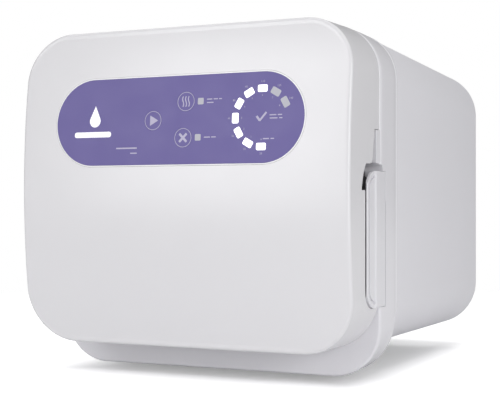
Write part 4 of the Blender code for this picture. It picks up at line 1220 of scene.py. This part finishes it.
def make_wraps():
    """The mounting collar and the jacket, which is strapped at five places."""
    profile = [(81.9, 60.8), (90.6, 60.8), (91, 61.2), (91, 69.3), (90.6, 69.7), (81.9, 69.7)]
    collar = turned("mounting_collar_ring", profile, 0, MID_Z, 112, closed=True)
    piece(collar, "aluminium", "mounting_collar")
    profile = [(84.6, 72.6), (92.4, 72.6), (93.0, 73.4)]
    for strap in range(5):
        y = 100.0 + 36.0 * strap
        profile += [(93.0, y), (92.3, y + 0.8), (92.3, y + 5.2), (93.0, y + 6.0)]
    profile += [(93.0, 279.2), (92.4, 280.0), (84.6, 280.0)]
    jacket = turned("insulation_wrap", profile, 0, MID_Z, 112, closed=True)
    piece(jacket, "insulation", "insulation_jacket")


def tray_outline(inset, radius):
    half, near, far = 53.7 - inset, 66.0 + inset, 280.0 - inset
    return softened([(-half, near), (half, near), (half, far), (-half, far)], radius, 6)


def make_trays():
    for name, level in (("tray_lower", -22.0), ("tray_upper", 5.0)):
        z = MID_Z + level + 1.5
        stations = ((z, -0.7), (z + 0.4, -0.1), z + 1, z + 10)
        tray = prism(name + "_pan", tray_outline(0, 9.0), "Z", *stations)
        stations = ((z + 1, -0.6), z + 1.6, z + 12)
        inside = prism(name + "_inside", tray_outline(1, 8.2), "Z", *stations)
        holes = bmesh.new()
        for column in range(-4, 5):
            for row in range(17):
                circle = arc((11.0 * column, 79.0 + 11.8 * row), 2.4, 0, 330, 11)
                fill(holes, [[(x, y, height) for x, y in circle] for height in (z - 1, z + 2)])
        cut(tray, inside, to_object("tray_holes", holes))
        piece(tray, "stainless", name, slot="aluminium")
    refined("tray_rack", "stainless", 0.25, 1)


PIPE_RADIUS = 2.5
PIPE_ROUTES = {
    "steam_pipe": [
        (-30, 304, 174.2), (-30, 314, 174.2), (-96, 314, 238), (-108, 310, 244), (-108, 292.3, 244),
    ],
    "drain_pipe": [
        (-120, 292.3, 232), (-120, 310, 232), (-118, 312, 190), (-112, 312, 90), (-95, 311, 62),
        (-95, 322.2, 62),
    ],
    "relief_pipe": [(25, 302.3, 179.2), (25, 312, 179.2), (62, 312, 222), (62, 322.2, 222)],
}


def make_pipes():
    """The steam, drain and relief tubes, redrawn round and smooth along the CAD's routes."""
    for name, route in PIPE_ROUTES.items():
        points = [Vector(point) for point in route]
        path = [points[0]]
        for corner in zip(points, points[1:], points[2:]):
            path += bend(*corner, 10.0, 8)
        path.append(points[-1])
        curve = bpy.data.curves.new(name + "_tube", "CURVE")
        configured(curve, dimensions="3D", bevel_resolution=6, use_fill_caps=True)
        curve.bevel_depth = PIPE_RADIUS * MM
        spline = curve.splines.new("POLY")
        spline.points.add(len(path) - 1)
        for point, spot in zip(spline.points, path):
            point.co = (*place(*spot), 1.0)
        helper = linked(name + "_curve", curve)
        tube = linked(name + "_tube", evaluated_mesh(helper))
        bpy.data.objects.remove(helper, do_unlink=True)
        piece(tube, "copper", name)


# Metal and electrical nodes that keep their CAD shape: node, look, width of the softened edges
HARDWARE = [
    (f"{node}_{end}", look, width)
    for node, look, width in (
        ("door_hinge", "zinc", 0.3),
        ("frame_hinge", "zinc", 0.3),
        ("hinge_pin", "stainless", 0.3),
        ("latch_hook", "zinc", 0.4),
    )
    for end in ("lower", "upper")
]
HARDWARE += [("latch_strike", "zinc", 0.3), ("door_crossbar", "zinc", 0.8)]
HARDWARE += [("transformer", "zinc", 0.8), ("power_board", "board", 0.3)]
HARDWARE += [("exhaust_solenoid", "brass", 0.6), ("chamber_cradle", "zinc", 0.5)]
HARDWARE += [("base_plate", "zinc", 0.3), ("front_bulkhead", "zinc", 0.3)]


def finish_carried_nodes():
    """Gives each CAD node that still shows a material of its slot."""
    for name, node in frame["nodes"].items():
        slot = NODE_SLOT[name]
        if not node.hide_render:
            dressed(node, SLOT_LOOKS.get(slot, slot), 35)


# ---------------------------------------------------------------- studio


def make_floor():
    """A pale floor that takes the shadow near the object and is plain white further off."""
    bm = bmesh.new()
    bm.faces.new([bm.verts.new((x, y, 0.0)) for x, y in FLOOR_CORNERS])
    floor = to_object("studio_floor", bm)
    n = new_material("pale_floor")
    reach = n.vector("LENGTH", n.place, output="Value")
    seen = n.add("ShaderNodeLightPath").outputs["Is Camera Ray"]
    split = n.add("ShaderNodeSeparateXYZ", {0: n.place}).outputs
    squares = []
    for axis, (middle, half) in zip("XY", SHADE):
        apart = n.math("ABSOLUTE", n.math("SUBTRACT", split[axis], middle))
        outside = n.math("MAXIMUM", n.math("SUBTRACT", apart, half), 0.0)
        squares.append(n.math("MULTIPLY", outside, outside))
    gap = n.math("SQRT", n.math("ADD", *squares))
    glow = n.spread(gap, FLOOR_NEAR, FLOOR_FAR, 0.0, SHADE_EDGE)
    n.set(
        Base_Color=n.mix(n.noise(3.0), (0.93, 0.93, 0.935), (0.95, 0.95, 0.955)),
        Roughness=n.spread(n.noise(20.0), 0.75, 0.9),
        Specular_IOR_Level=0.15,
        Emission_Color=(1.0, 1.0, 1.0),
        Emission_Strength=n.math("MULTIPLY", seen, glow),
    )
    strength = n.spread(seen, FLOOR_BOUNCE, 1.0, 0.0, 1.0)
    plain = n.add("ShaderNodeEmission", {"Color": (1.0, 1.0, 1.0), "Strength": strength})
    fade = n.spread(reach, 0.0, 1.0, *FLOOR_FADE)
    n.output({0: fade, 1: n.shader.outputs[0], 2: plain.outputs[0]})
    floor.data.materials.append(n.holder)


def make_world():
    """Soft surround: brightest above and to the front left, and white where it is seen."""
    n = Nodes(bpy.data.worlds.new("studio"), "Generated")
    towards = n.vector("DOT_PRODUCT", n.place, Vector(SKY_TOWARDS).normalized(), output="Value")
    sky = n.tree.nodes["Background"]
    n.feed(sky.inputs["Color"], (0.985, 0.985, 1.0))
    n.feed(sky.inputs["Strength"], n.spread(towards, SKY_DIM, SKY_BRIGHT, -1.0, 1.0))
    plain = n.add("ShaderNodeBackground", {"Color": (1.0, 1.0, 1.0), "Strength": 1.0})
    seen = n.add("ShaderNodeLightPath").outputs["Is Camera Ray"]
    n.output({0: seen, 1: sky.outputs[0], 2: plain.outputs[0]})
    bpy.context.scene.world = n.holder


def area(name, spot, target, size, radiance):
    """A soft box of a given brightness, aimed at a point."""
    light = bpy.data.lights.new(name, "AREA")
    configured(light, shape="RECTANGLE", size=size[0], size_y=size[1])
    light.energy = radiance * math.pi * size[0] * size[1]
    obj = linked(name, light)
    obj.location = spot
    direction = Vector(target) - Vector(spot)
    obj.rotation_euler = direction.to_track_quat("-Z", "Y").to_euler()


def make_studio():
    make_floor()
    make_world()
    area("front_soft_box", (-0.86, -1.98, 0.66), (0.0, -0.17, 0.15), (0.66, 1.24), 4.65)
    area("top_soft_box", (0.0, 0.1, 1.7), (0.0, 0.0, 0.0), (3.0, 3.0), 0.8)
    area("edge_strip", (1.9, -1.35, 0.62), (0.14, -0.1, 0.15), (0.13, 1.1), 17.5)
    area("side_soft_box", (1.2, -0.8, 0.3), (0.14, 0.0, 0.15), (0.5, 0.7), 4.2)
    data = configured(bpy.data.cameras.new("camera"), sensor_width=36.0, lens=85.28)
    camera = linked("camera", data)
    camera.location = (0.44916, -0.97483, 0.14139)
    camera.rotation_euler = (math.radians(90.09), 0.0, math.radians(25.53))
    bpy.context.scene.camera = camera
    bpy.context.scene.view_settings.view_transform = "Standard"


make_door()
make_liner()
make_plate()
make_seal()
make_panel()
make_keys()
make_panel_print()
make_lever()
make_lever_lining()
make_frame()
make_cover()
make_rear_panel()
make_safety_valve()
make_drain_outlet()
make_fuse_holders()
make_mains()
make_feet()
make_chamber()
make_wraps()
make_trays()
make_pipes()
for hardware in HARDWARE:
    refined(*hardware)
finish_carried_nodes()
make_studio()
